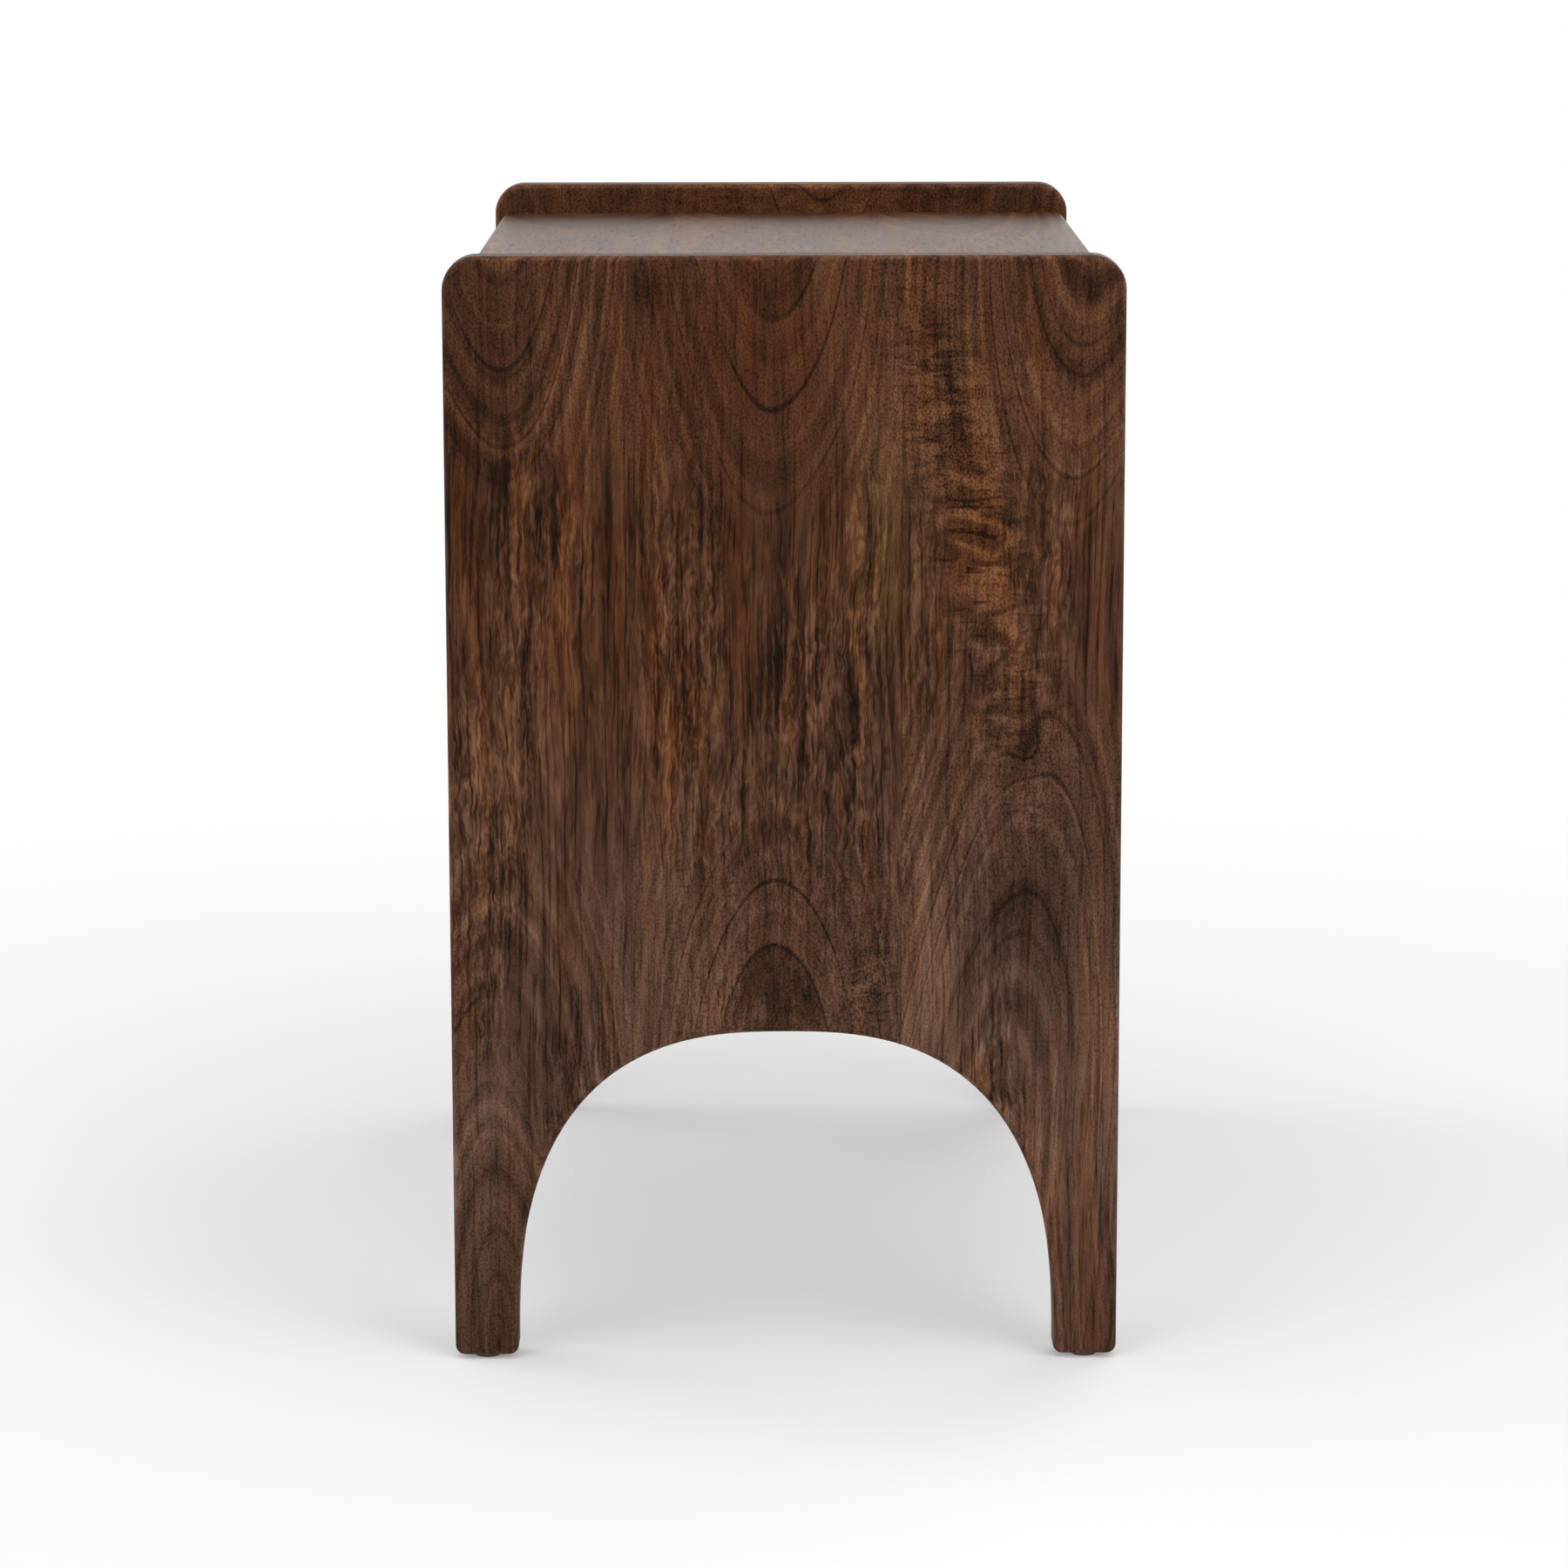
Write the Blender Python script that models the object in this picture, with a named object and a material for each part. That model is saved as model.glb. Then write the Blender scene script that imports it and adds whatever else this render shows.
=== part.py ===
"""Nightstand: two slab sides that arch into legs, a sunken top and two inset drawers on ball slides.

Metres, +Z up, floor at Z = 0, width along X, front towards -Y. Right is +X, as seen from the front.
"""

import math

import bmesh
import bpy
from mathutils import Matrix, Vector

# Overall size
WIDTH = 0.610
DEPTH = 0.381
HEIGHT = 0.635

# Slab sides
SLAB = 0.024
SLAB_ROUND = 0.004  # roundover along both rims of a slab
TOP_CORNER = 0.019
LEG = 0.0365  # width of a leg at the floor
ARCH_HEIGHT = 0.193  # crown of the arch above the floor
ARCH_POWER = 2.65  # squareness of the arch, where 2 is an ellipse
SOLE_CORNER = 0.0055

# Case boards
LIP = 0.019  # how far the slabs stand above the top board
TOP_BOARD = 0.022
BOTTOM_BOARD = 0.020
BOTTOM_RISE = 0.008  # underside of the bottom board above the crown of the arch
DIVIDER = 0.018
DIVIDER_DEPTH = 0.060
FRONT_INSET = 0.006  # front of the case behind the front edges of the slabs
BACK_INSET = 0.004
CASE_EASE = 0.0025  # eased front and rear edges of the case boards
HOUSING = 0.008  # how far the bottom board and the divider are let into the slabs
HOUSING_STOP = 0.012  # a housing ends this far short of the edge it would show at
BACK_BOARD = 0.006
BACK_SET = 0.012  # back board ahead of the rear edge of the case
BACK_GROOVE = 0.006

# Dowels that hold the top board
DOWEL = 0.008
DOWEL_LENGTH = 0.034
DOWEL_CHAMFER = 0.001
DOWEL_IN_SLAB = 0.012
DOWEL_INSET = 0.060  # dowels from the front and rear edges of the top board

# Foot glides
GLIDE = 0.015
GLIDE_HEAD = 0.002
GLIDE_CHAMFER = 0.0005
GLIDE_NAIL = 0.0022
GLIDE_NAIL_LENGTH = 0.014

# Drawers
REVEAL = 0.0025  # gap round a drawer face
FACE = 0.020
FACE_SETBACK = 0.0015  # drawer faces behind the front of the case
FACE_EASE = 0.0025
PULL_WIDTH = 0.120  # finger pull scooped from the upper edge of a face
PULL_DEPTH = 0.027
BOX_BOARD = 0.012
BOX_RISE = 0.010  # lower edge of the box above the lower edge of its face
BOX_DROP = 0.040  # upper edge of the box below the upper edge of its face
BOX_BOTTOM = 0.005
BOX_BOTTOM_RISE = 0.010  # underside of the box bottom above the lower edge of the box
BOX_GROOVE = 0.005
BOX_CLEARANCE = 0.010  # least room behind a closed drawer
TAILS = 3  # dovetails at each corner of a box
TAIL_PIN = 0.008  # narrow end of the pin between two tails
TAIL_SLOPE = 1 / 6

# Ball-bearing slides
SLIDE_STEP = 0.050  # slides are sold in lengths this far apart
SLIDE_THICKNESS = 0.0127
SLIDE_HEIGHT = 0.035
SLIDE_SHEET = 0.0012
SLIDE_LIP = 0.001
SLIDE_TRAVEL = 0.75  # share of a slide's length that it extends
BALL = 0.003
CAGE_BALLS = 5
CAGE_PITCH = 0.024
CAGE_END = 0.006  # cage past its last balls
CAGE_SHEET = 0.0006

# Screws
SCREW = 0.003
SCREW_HEAD = 0.0065
SCREW_HEAD_HEIGHT = 0.0018
SCREW_CROWN = 0.0042  # flat on top of the head
SCREW_RIM = 0.0007  # straight side of the head
SCREW_CROSS = 0.0036  # span of the cross recess
SCREW_CROSS_SLOT = 0.001
SCREW_CROSS_DEPTH = 0.001
SCREW_TIP = 0.002
SLIDE_SCREW_LENGTH = 0.0105
CASE_SCREW_INSET = 0.037  # screws from the ends of an outer channel
RAIL_SCREW_INSET = 0.050
FACE_SCREW_GRIP = 0.014  # how far a screw bites into a drawer face
FACE_SCREW_SPREAD = 0.300

# Fits
FIT = 0.0003  # clearance where two pieces meet
OVER = 0.001  # how far a cutter reaches past what it cuts
ROUND_STEPS = 12  # sides of a small round piece
BALL_STEPS = 8
CORNER_STEPS = 5
ARCH_STEPS = 32
PULL_STEPS = 16
RIM_STEPS = 3
EASE_STEPS = 2
SMOOTH_ANGLE = math.radians(40)

# Planes that the pieces share
INNER = WIDTH / 2 - SLAB
CASE_FRONT = FRONT_INSET - DEPTH / 2
CASE_BACK = DEPTH / 2 - BACK_INSET
SOLE = GLIDE_HEAD + FIT
TOP_FACE = HEIGHT - LIP
TOP_UNDER = TOP_FACE - TOP_BOARD
BOTTOM_UNDER = ARCH_HEIGHT + BOTTOM_RISE
BOTTOM_FACE = BOTTOM_UNDER + BOTTOM_BOARD
BAY = (TOP_UNDER - BOTTOM_FACE - DIVIDER) / 2
DIVIDER_UNDER = BOTTOM_FACE + BAY
BAYS = {"lower": BOTTOM_FACE, "upper": DIVIDER_UNDER + DIVIDER}
BACK_BOARD_REAR = CASE_BACK - BACK_SET
BACK_BOARD_FRONT = BACK_BOARD_REAR - BACK_BOARD
FACE_FRONT = CASE_FRONT + FACE_SETBACK
BOX_FRONT = FACE_FRONT + FACE + FIT
BOX_OUTER = INNER - SLIDE_THICKNESS
BOX_HEIGHT = BAY - 2 * REVEAL - BOX_RISE - BOX_DROP
SLIDE_ROOM = BACK_BOARD_FRONT - BOX_CLEARANCE - BOX_FRONT
SLIDE_LENGTH = math.floor(SLIDE_ROOM / SLIDE_STEP) * SLIDE_STEP
BOX_BACK = BOX_FRONT + SLIDE_LENGTH
FACE_SCREW_LENGTH = BOX_BOARD + FACE_SCREW_GRIP
SIDES = {"left": -1, "right": 1}

# Section of a slide: distances from the slab, then half heights from the slide's centre line
CHANNEL_WEB = FIT + SLIDE_SHEET
CAGE_BACK = CHANNEL_WEB + FIT + SCREW_HEAD_HEIGHT + FIT
RAIL_EDGE = CAGE_BACK + CAGE_SHEET + FIT
RAIL_BACK = SLIDE_THICKNESS - FIT
RAIL_WEB = RAIL_BACK - SLIDE_SHEET
CHANNEL_EDGE = RAIL_WEB - FIT
LIP_BACK = CHANNEL_EDGE - SLIDE_SHEET
CAGE_EDGE = LIP_BACK - FIT
BALL_ROW = (RAIL_EDGE + LIP_BACK) / 2
CHANNEL_HALF = SLIDE_HEIGHT / 2
CHANNEL_INSIDE = CHANNEL_HALF - SLIDE_SHEET
BALL_HALF = CHANNEL_INSIDE - FIT - BALL / 2
RAIL_HALF = BALL_HALF - BALL / 2 - FIT
CAGE_HALF = BALL_HALF + CAGE_SHEET / 2


def clear_scene():
    for old in list(bpy.data.objects):
        bpy.data.objects.remove(old, do_unlink=True)


def finish(name, colour, roughness, metallic=0.0):
    material = bpy.data.materials.new(name)
    material.use_nodes = True
    shader = material.node_tree.nodes["Principled BSDF"]
    shader.inputs["Base Color"].default_value = (*colour, 1)
    shader.inputs["Roughness"].default_value = roughness
    shader.inputs["Metallic"].default_value = metallic
    return material


def make_finishes():
    return {
        "dark_wood": finish("dark_stained_mango", (0.060, 0.024, 0.014), 0.45),
        "box_wood": finish("oiled_mango", (0.36, 0.20, 0.10), 0.55),
        "sheet_wood": finish("birch_plywood", (0.50, 0.34, 0.19), 0.6),
        "dowel_wood": finish("beech", (0.56, 0.38, 0.24), 0.6),
        "zinc": finish("zinc_plated_steel", (0.62, 0.63, 0.64), 0.32, 1.0),
        "nylon": finish("nylon", (0.10, 0.07, 0.05), 0.5),
    }


# Shapes


def add_box(bm, low, high):
    size = [b - a for a, b in zip(low, high)]
    middle = [(a + b) / 2 for a, b in zip(low, high)]
    bmesh.ops.create_cube(bm, size=1, matrix=Matrix.Translation(middle) @ Matrix.Diagonal((*size, 1)))
    return bm


def add_rod(bm, start, end, radius):
    start, end = Vector(start), Vector(end)
    turn = (end - start).to_track_quat("Z", "Y").to_matrix().to_4x4()
    bmesh.ops.create_cone(
        bm,
        cap_ends=True,
        segments=ROUND_STEPS,
        radius1=radius,
        radius2=radius,
        depth=(end - start).length,
        matrix=Matrix.Translation((start + end) / 2) @ turn,
    )
    return bm


def add_prism(bm, outline, axis, low, high):
    """Solid with this outline square to an axis (0, 1 or 2), from low to high along it."""
    corners = []
    for first, second in outline:
        place = [first, second]
        place.insert(axis, low)
        corners.append(bm.verts.new(place))
    base = bm.faces.new(corners)
    grown = bmesh.ops.extrude_face_region(bm, geom=[base])["geom"]
    along = Vector()
    along[axis] = high - low
    tip = [item for item in grown if isinstance(item, bmesh.types.BMVert)]
    bmesh.ops.translate(bm, vec=along, verts=tip)
    bmesh.ops.recalc_face_normals(bm, faces=bm.faces)
    return bm


def turned(profile):
    """Solid turned about +Z from (radius, height) points that start and end on the axis."""
    bm = bmesh.new()
    points = [bm.verts.new((radius, 0, height)) for radius, height in profile]
    edges = [bm.edges.new(pair) for pair in zip(points, points[1:])]
    bmesh.ops.spin(
        bm, geom=points + edges, axis=(0, 0, 1), cent=(0, 0, 0), angle=math.tau, steps=ROUND_STEPS
    )
    bmesh.ops.remove_doubles(bm, verts=bm.verts, dist=1e-6)
    bmesh.ops.recalc_face_normals(bm, faces=bm.faces)
    return bm


def ease(bm, radius, chosen, steps=EASE_STEPS):
    """Round the edges that the test chooses from their two end points."""
    edges = [edge for edge in bm.edges if chosen(*(vert.co for vert in edge.verts))]
    bmesh.ops.bevel(
        bm, geom=edges, offset=radius, segments=steps, profile=0.5, affect="EDGES", clamp_overlap=True
    )
    return bm


def on_plane(axis, place):
    """Test for an edge that lies in the plane square to an axis at this place."""
    return lambda a, b: all(math.isclose(point[axis], place, abs_tol=1e-6) for point in (a, b))


def filleted(corners):
    """Outline through (point, radius) corners, with an arc at each one that has a radius."""
    outline = []
    for index, (point, radius) in enumerate(corners):
        point = Vector(point)
        if not radius:
            outline.append(point)
            continue
        before = (Vector(corners[index - 1][0]) - point).normalized()
        after = (Vector(corners[(index + 1) % len(corners)][0]) - point).normalized()
        half = before.angle(after) / 2
        centre = point + (before + after).normalized() * radius / math.sin(half)
        start = point + before * radius / math.tan(half) - centre
        sweep = start.angle_signed(point + after * radius / math.tan(half) - centre)
        for step in range(CORNER_STEPS + 1):
            outline.append(centre + Matrix.Rotation(-sweep * step / CORNER_STEPS, 2) @ start)
    return outline


def arch(half_span, rise, steps):
    """Points over an arch of the furniture's own squared curve, from -half_span to +half_span."""
    points = []
    for step in range(steps + 1):
        angle = math.pi * (1 - step / steps)
        across = math.copysign(abs(math.cos(angle)) ** (2 / ARCH_POWER), math.cos(angle))
        up = abs(math.sin(angle)) ** (2 / ARCH_POWER)
        points.append((half_span * across, rise * up))
    return points


# Objects


def add_piece(name, bm, material, parent, origin, smooth_angle=None):
    """Piece modelled in place, with its origin set and carried by its parent."""
    origin = Vector(origin)
    bmesh.ops.translate(bm, vec=-origin, verts=bm.verts)
    mesh = bpy.data.meshes.new(name)
    bm.to_mesh(mesh)
    bm.free()
    if smooth_angle:
        mesh.shade_smooth()
        mesh.set_sharp_from_angle(angle=smooth_angle)
    return add_mesh(name, mesh, material, parent, origin)


def add_mesh(name, mesh, material, parent, origin):
    if not mesh.materials:
        mesh.materials.append(material)
    piece = bpy.data.objects.new(name, mesh)
    bpy.context.scene.collection.objects.link(piece)
    piece.parent = parent
    piece.location = Vector(origin) - parent.location
    return piece


def add_carrier(name, origin):
    carrier = bpy.data.objects.new(name, None)
    bpy.context.scene.collection.objects.link(carrier)
    carrier.location = origin
    return carrier


def add_cutter(name, bm):
    mesh = bpy.data.meshes.new(name)
    bm.to_mesh(mesh)
    bm.free()
    cutter = bpy.data.objects.new(name, mesh)
    bpy.context.scene.collection.objects.link(cutter)
    cutter.hide_render = True
    cutter.display_type = "WIRE"
    return cutter


def combine(target, operation, *tools):
    for tool in tools:
        modifier = target.modifiers.new(tool.name, "BOOLEAN")
        modifier.operation = operation
        modifier.object = tool


def cut(target, *cutters):
    combine(target, "DIFFERENCE", *cutters)


# Screws and the other small hardware


def screw_mesh(name, length):
    """Pan-head screw with a cross recess, its head's seat at the origin and its shank down -Z."""
    radius, head = SCREW / 2, SCREW_HEAD / 2
    profile = [
        (0, SCREW_HEAD_HEIGHT),
        (SCREW_CROWN / 2, SCREW_HEAD_HEIGHT),
        (head, SCREW_RIM),
        (head, 0),
        (radius, 0),
        (radius, SCREW_TIP - length),
        (0, -length),
    ]
    blank = add_cutter(name + "_blank", turned(profile))
    arm, slot = SCREW_CROSS / 2, SCREW_CROSS_SLOT / 2
    quarter = [(slot, -arm), (slot, -slot), (arm, -slot)]
    cross = []
    for turn in range(4):
        cross += [Matrix.Rotation(turn * math.pi / 2, 2) @ Vector(point) for point in quarter]
    floor = SCREW_HEAD_HEIGHT - SCREW_CROSS_DEPTH
    recess = add_prism(bmesh.new(), cross, 2, floor, SCREW_HEAD_HEIGHT + OVER)
    recess = add_cutter(name + "_recess", recess)
    cut(blank, recess)
    bpy.context.view_layer.update()
    cut_blank = blank.evaluated_get(bpy.context.evaluated_depsgraph_get())
    mesh = bpy.data.meshes.new_from_object(cut_blank)
    mesh.name = name
    for helper in (blank, recess):
        bpy.data.objects.remove(helper)
    return mesh


def drive_screw(name, mesh, material, parent, seat, along):
    """Screw with its head's seat here, driven along this direction."""
    screw = add_mesh(name, mesh, material, parent, seat)
    screw.rotation_mode = "QUATERNION"
    screw.rotation_quaternion = (-Vector(along)).to_track_quat("Z", "Y")
    return screw


def screw_hole(bm, seat, along, length):
    seat, along = Vector(seat), Vector(along)
    return add_rod(bm, seat - along * OVER, seat + along * (length + FIT), SCREW / 2 + FIT)


def build_glides(case, finishes):
    """Nail-in glides under the legs, and the cutter for their nails."""
    radius, nail = GLIDE / 2, GLIDE_NAIL / 2
    tip = GLIDE_HEAD + GLIDE_NAIL_LENGTH
    profile = [
        (0, 0),
        (radius - GLIDE_CHAMFER, 0),
        (radius, GLIDE_CHAMFER),
        (radius, GLIDE_HEAD),
        (nail, GLIDE_HEAD),
        (nail, tip - 2 * nail),
        (0, tip),
    ]
    holes = bmesh.new()
    across, along = (WIDTH - SLAB) / 2, (DEPTH - LEG) / 2
    for side, sign in SIDES.items():
        for end, towards in (("front", -1), ("rear", 1)):
            place = Vector((sign * across, towards * along, 0))
            glide = turned(profile)
            bmesh.ops.translate(glide, vec=place, verts=glide.verts)
            add_piece(f"foot_glide_{end}_{side}", glide, finishes["nylon"], case, place, SMOOTH_ANGLE)
            low, high = place.copy(), place.copy()
            low.z, high.z = SOLE - OVER, tip + FIT
            add_rod(holes, low, high, nail + FIT)
    return add_cutter("glide_nail_holes", holes)


def build_dowels(case, finishes):
    """Dowels between the top board and the slabs, and the cutter for their holes."""
    holes = bmesh.new()
    height = (TOP_FACE + TOP_UNDER) / 2
    radius = DOWEL / 2
    for side, sign in SIDES.items():
        outer = sign * (INNER + DOWEL_IN_SLAB)
        inner = outer - sign * DOWEL_LENGTH
        for end, place in (("front", CASE_FRONT + DOWEL_INSET), ("rear", CASE_BACK - DOWEL_INSET)):
            dowel = add_rod(bmesh.new(), (inner, place, height), (outer, place, height), radius)
            for tip in (inner, outer):
                ease(dowel, DOWEL_CHAMFER, on_plane(0, tip), steps=1)
            middle = ((inner + outer) / 2, place, height)
            add_piece(
                f"top_dowel_{end}_{side}", dowel, finishes["dowel_wood"], case, middle, SMOOTH_ANGLE
            )
            start, stop = inner - sign * FIT, outer + sign * FIT
            add_rod(holes, (start, place, height), (stop, place, height), radius + FIT)
    return add_cutter("dowel_holes", holes)


# Case


def slab_outline():
    """Side outline in Y and Z: two legs under a squared arch, round upper corners."""
    half, sole_corner = DEPTH / 2, max(SOLE_CORNER, SLAB_ROUND + OVER)
    opening = arch(half - LEG, ARCH_HEIGHT - SOLE, ARCH_STEPS)
    corners = [((-half, HEIGHT), TOP_CORNER), ((-half, SOLE), sole_corner)]
    for index, (across, up) in enumerate(opening):
        at_sole = index in (0, ARCH_STEPS)
        corners.append(((across, SOLE + up), sole_corner if at_sole else 0))
    corners += [((half, SOLE), sole_corner), ((half, HEIGHT), TOP_CORNER)]
    return filleted(corners)


def build_slabs(case, finishes, cutters):
    for side, sign in SIDES.items():
        faces = (sign * INNER, sign * WIDTH / 2)
        slab = add_prism(bmesh.new(), slab_outline(), 0, min(faces), max(faces))
        for face in faces:
            ease(slab, SLAB_ROUND, on_plane(0, face), RIM_STEPS)
        origin = (sign * (WIDTH - SLAB) / 2, 0, 0)
        slab = add_piece(
            f"side_panel_{side}", slab, finishes["dark_wood"], case, origin, SMOOTH_ANGLE
        )
        cut(slab, *cutters)


def front_edges(front, rear):
    """Test for the eased edges of a board: those along its front and its rear."""
    at_front, at_rear = on_plane(1, front), on_plane(1, rear)
    return lambda a, b: (at_front(a, b) or at_rear(a, b)) and math.isclose(a.z, b.z, abs_tol=1e-6)


def build_top(case, finishes, cutters):
    edge = INNER - FIT
    top = add_box(bmesh.new(), (-edge, CASE_FRONT, TOP_UNDER), (edge, CASE_BACK, TOP_FACE))
    ease(top, CASE_EASE, front_edges(CASE_FRONT, CASE_BACK))
    top = add_piece("top_panel", top, finishes["dark_wood"], case, (0, 0, TOP_FACE))
    cut(top, *cutters)


def tongued_outline(rear, tongue_front, tongue_rear):
    """Plan of a board between the slabs with a tongue at each end that is let into them."""
    edge, end = INNER - FIT, INNER + HOUSING - FIT
    half = [(edge, CASE_FRONT), (edge, tongue_front), (end, tongue_front)]
    half += [(end, tongue_rear), (edge, tongue_rear), (edge, rear)]
    return half + [(-across, along) for across, along in reversed(half)]


def add_housings(bm, tongue_front, tongue_rear, low, high):
    for sign in SIDES.values():
        reach = sorted((sign * (INNER - OVER), sign * (INNER + HOUSING)))
        add_box(bm, (reach[0], tongue_front - FIT, low - FIT), (reach[1], tongue_rear + FIT, high + FIT))


def build_cross_boards(case, finishes, back_groove):
    """Bottom board and drawer divider, and the cutter for their housings in the slabs."""
    housings = bmesh.new()
    divider_rear = CASE_FRONT + DIVIDER_DEPTH
    boards = (
        ("bottom_panel", CASE_BACK, BACK_BOARD_FRONT, BOTTOM_UNDER, BOTTOM_FACE),
        ("drawer_divider", divider_rear, divider_rear, DIVIDER_UNDER, DIVIDER_UNDER + DIVIDER),
    )
    for name, rear, stop_edge, low, high in boards:
        tongue = (CASE_FRONT + HOUSING_STOP, stop_edge - HOUSING_STOP)
        board = add_prism(bmesh.new(), tongued_outline(rear, *tongue), 2, low, high)
        ease(board, CASE_EASE, front_edges(CASE_FRONT, rear))
        board = add_piece(name, board, finishes["dark_wood"], case, (0, 0, low))
        add_housings(housings, *tongue, low, high)
        if rear > BACK_BOARD_REAR:
            cut(board, back_groove)
    return add_cutter("housings", housings)


def build_back(case, finishes):
    """Back board held in a groove all round, and the cutter for that groove."""
    edge = INNER + BACK_GROOVE - FIT
    low = (-edge, BACK_BOARD_FRONT, BOTTOM_FACE - BACK_GROOVE + FIT)
    high = (edge, BACK_BOARD_REAR, TOP_UNDER + BACK_GROOVE - FIT)
    back = add_box(bmesh.new(), low, high)
    add_piece("back_panel", back, finishes["dark_wood"], case, (0, BACK_BOARD_REAR, BOTTOM_FACE))
    groove = add_box(bmesh.new(), [place - FIT for place in low], [place + FIT for place in high])
    return add_cutter("back_groove", groove)


# Drawer slides


def slide_line(bay):
    """Height of a drawer's slides, half way up its box."""
    return bay + REVEAL + BOX_RISE + BOX_HEIGHT / 2


def slide_section(points, sign, height):
    """Outline in X and Z of half a section, mirrored below the slide's centre line."""
    upper = [(sign * (INNER - out), height + up) for out, up in points]
    lower = [(sign * (INNER - out), height - up) for out, up in reversed(points)]
    return upper + lower


def screw_places(inset):
    return {"front": BOX_FRONT + inset, "rear": BOX_BACK - inset}


def build_channels(case, finishes, mesh):
    """Outer channels on the slabs with their screws, and the cutter for those screws."""
    section = [
        (FIT, CHANNEL_HALF),
        (CHANNEL_EDGE, CHANNEL_HALF),
        (CHANNEL_EDGE, CHANNEL_INSIDE - SLIDE_LIP),
        (LIP_BACK, CHANNEL_INSIDE - SLIDE_LIP),
        (LIP_BACK, CHANNEL_INSIDE),
        (CHANNEL_WEB, CHANNEL_INSIDE),
    ]
    holes = bmesh.new()
    channels = []
    for drawer, bay in BAYS.items():
        height = slide_line(bay)
        for side, sign in SIDES.items():
            name = f"{drawer}_slide_channel_{side}"
            outline = slide_section(section, sign, height)
            channel = add_prism(bmesh.new(), outline, 1, BOX_FRONT, BOX_BACK)
            origin = (sign * INNER, BOX_FRONT, height)
            channels.append(add_piece(name, channel, finishes["zinc"], case, origin))
            for end, place in screw_places(CASE_SCREW_INSET).items():
                seat = (sign * (INNER - CHANNEL_WEB - FIT), place, height)
                along = (sign, 0, 0)
                drive_screw(f"{name}_screw_{end}", mesh, finishes["zinc"], case, seat, along)
                screw_hole(holes, seat, along, SLIDE_SCREW_LENGTH)
    holes = add_cutter("channel_screw_holes", holes)
    for channel in channels:
        cut(channel, holes)
    return holes


def build_cages(drawer, bay, finishes):
    """Ball cages of a drawer's slides, which travel half as far as the drawer."""
    height = slide_line(bay)
    length = (CAGE_BALLS - 1) * CAGE_PITCH + 2 * CAGE_END
    front = BOX_FRONT + CAGE_END + SLIDE_LENGTH * SLIDE_TRAVEL / 2
    carrier = add_carrier(f"{drawer}_cages", (0, front, height))
    section = [
        (CAGE_BACK, CAGE_HALF),
        (CAGE_EDGE, CAGE_HALF),
        (CAGE_EDGE, CAGE_HALF - CAGE_SHEET),
        (CAGE_BACK + CAGE_SHEET, CAGE_HALF - CAGE_SHEET),
    ]
    for side, sign in SIDES.items():
        name = f"{drawer}_ball_cage_{side}"
        cage = add_prism(bmesh.new(), slide_section(section, sign, height), 1, front, front + length)
        cage = add_piece(name, cage, finishes["zinc"], carrier, (sign * INNER, front, height))
        balls = bmesh.new()
        for index in range(CAGE_BALLS):
            along = front + CAGE_END + index * CAGE_PITCH
            for row in (-BALL_HALF, BALL_HALF):
                place = Matrix.Translation((sign * (INNER - BALL_ROW), along, height + row))
                bmesh.ops.create_uvsphere(
                    balls, u_segments=BALL_STEPS, v_segments=BALL_STEPS // 2, radius=BALL / 2, matrix=place
                )
        combine(cage, "UNION", add_cutter(name + "_balls", balls))


# Drawers


def face_outline(low, high):
    """Front outline in X and Z of a drawer face, with its finger pull in the upper edge."""
    edge = INNER - REVEAL
    pull = [(across, high - down) for across, down in arch(PULL_WIDTH / 2, PULL_DEPTH, PULL_STEPS)]
    return [(-edge, low), (-edge, high), *pull, (edge, high), (edge, low)]


def tails(low):
    """Middle height, half width at the shoulder and half width at the end of each dovetail."""
    pitch = BOX_HEIGHT / TAILS
    wide = (pitch - TAIL_PIN) / 2
    for index in range(TAILS):
        yield low + pitch * (index + 0.5), wide - BOX_BOARD * TAIL_SLOPE, wide


def side_outline(low):
    """Outline in Y and Z of a box side with tails at both ends."""
    front_end = [(BOX_FRONT + BOX_BOARD, low)]
    for middle, narrow, wide in tails(low):
        front_end.append((BOX_FRONT + BOX_BOARD, middle - narrow))
        front_end.append((BOX_FRONT, middle - wide))
        front_end.append((BOX_FRONT, middle + wide))
        front_end.append((BOX_FRONT + BOX_BOARD, middle + narrow))
    front_end.append((BOX_FRONT + BOX_BOARD, low + BOX_HEIGHT))
    middle = (BOX_FRONT + BOX_BACK) / 2
    return front_end + [(2 * middle - along, up) for along, up in reversed(front_end)]


def tail_sockets(name, low):
    """Cutter for the sockets that the tails of both box sides fit, in the box front and back."""
    sockets = bmesh.new()
    for middle, narrow, wide in tails(low):
        outer = wide + OVER * TAIL_SLOPE + FIT
        inner = narrow - OVER * TAIL_SLOPE + FIT
        for end, inward in ((BOX_FRONT, 1), (BOX_BACK, -1)):
            mouth, depth = end - inward * OVER, end + inward * (BOX_BOARD + OVER)
            outline = [(mouth, middle - outer), (mouth, middle + outer)]
            outline += [(depth, middle + inner), (depth, middle - inner)]
            for sign in SIDES.values():
                reach = sorted((sign * (BOX_OUTER - BOX_BOARD - FIT), sign * (BOX_OUTER + OVER)))
                add_prism(sockets, outline, 0, *reach)
    return add_cutter(name, sockets)


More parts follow.
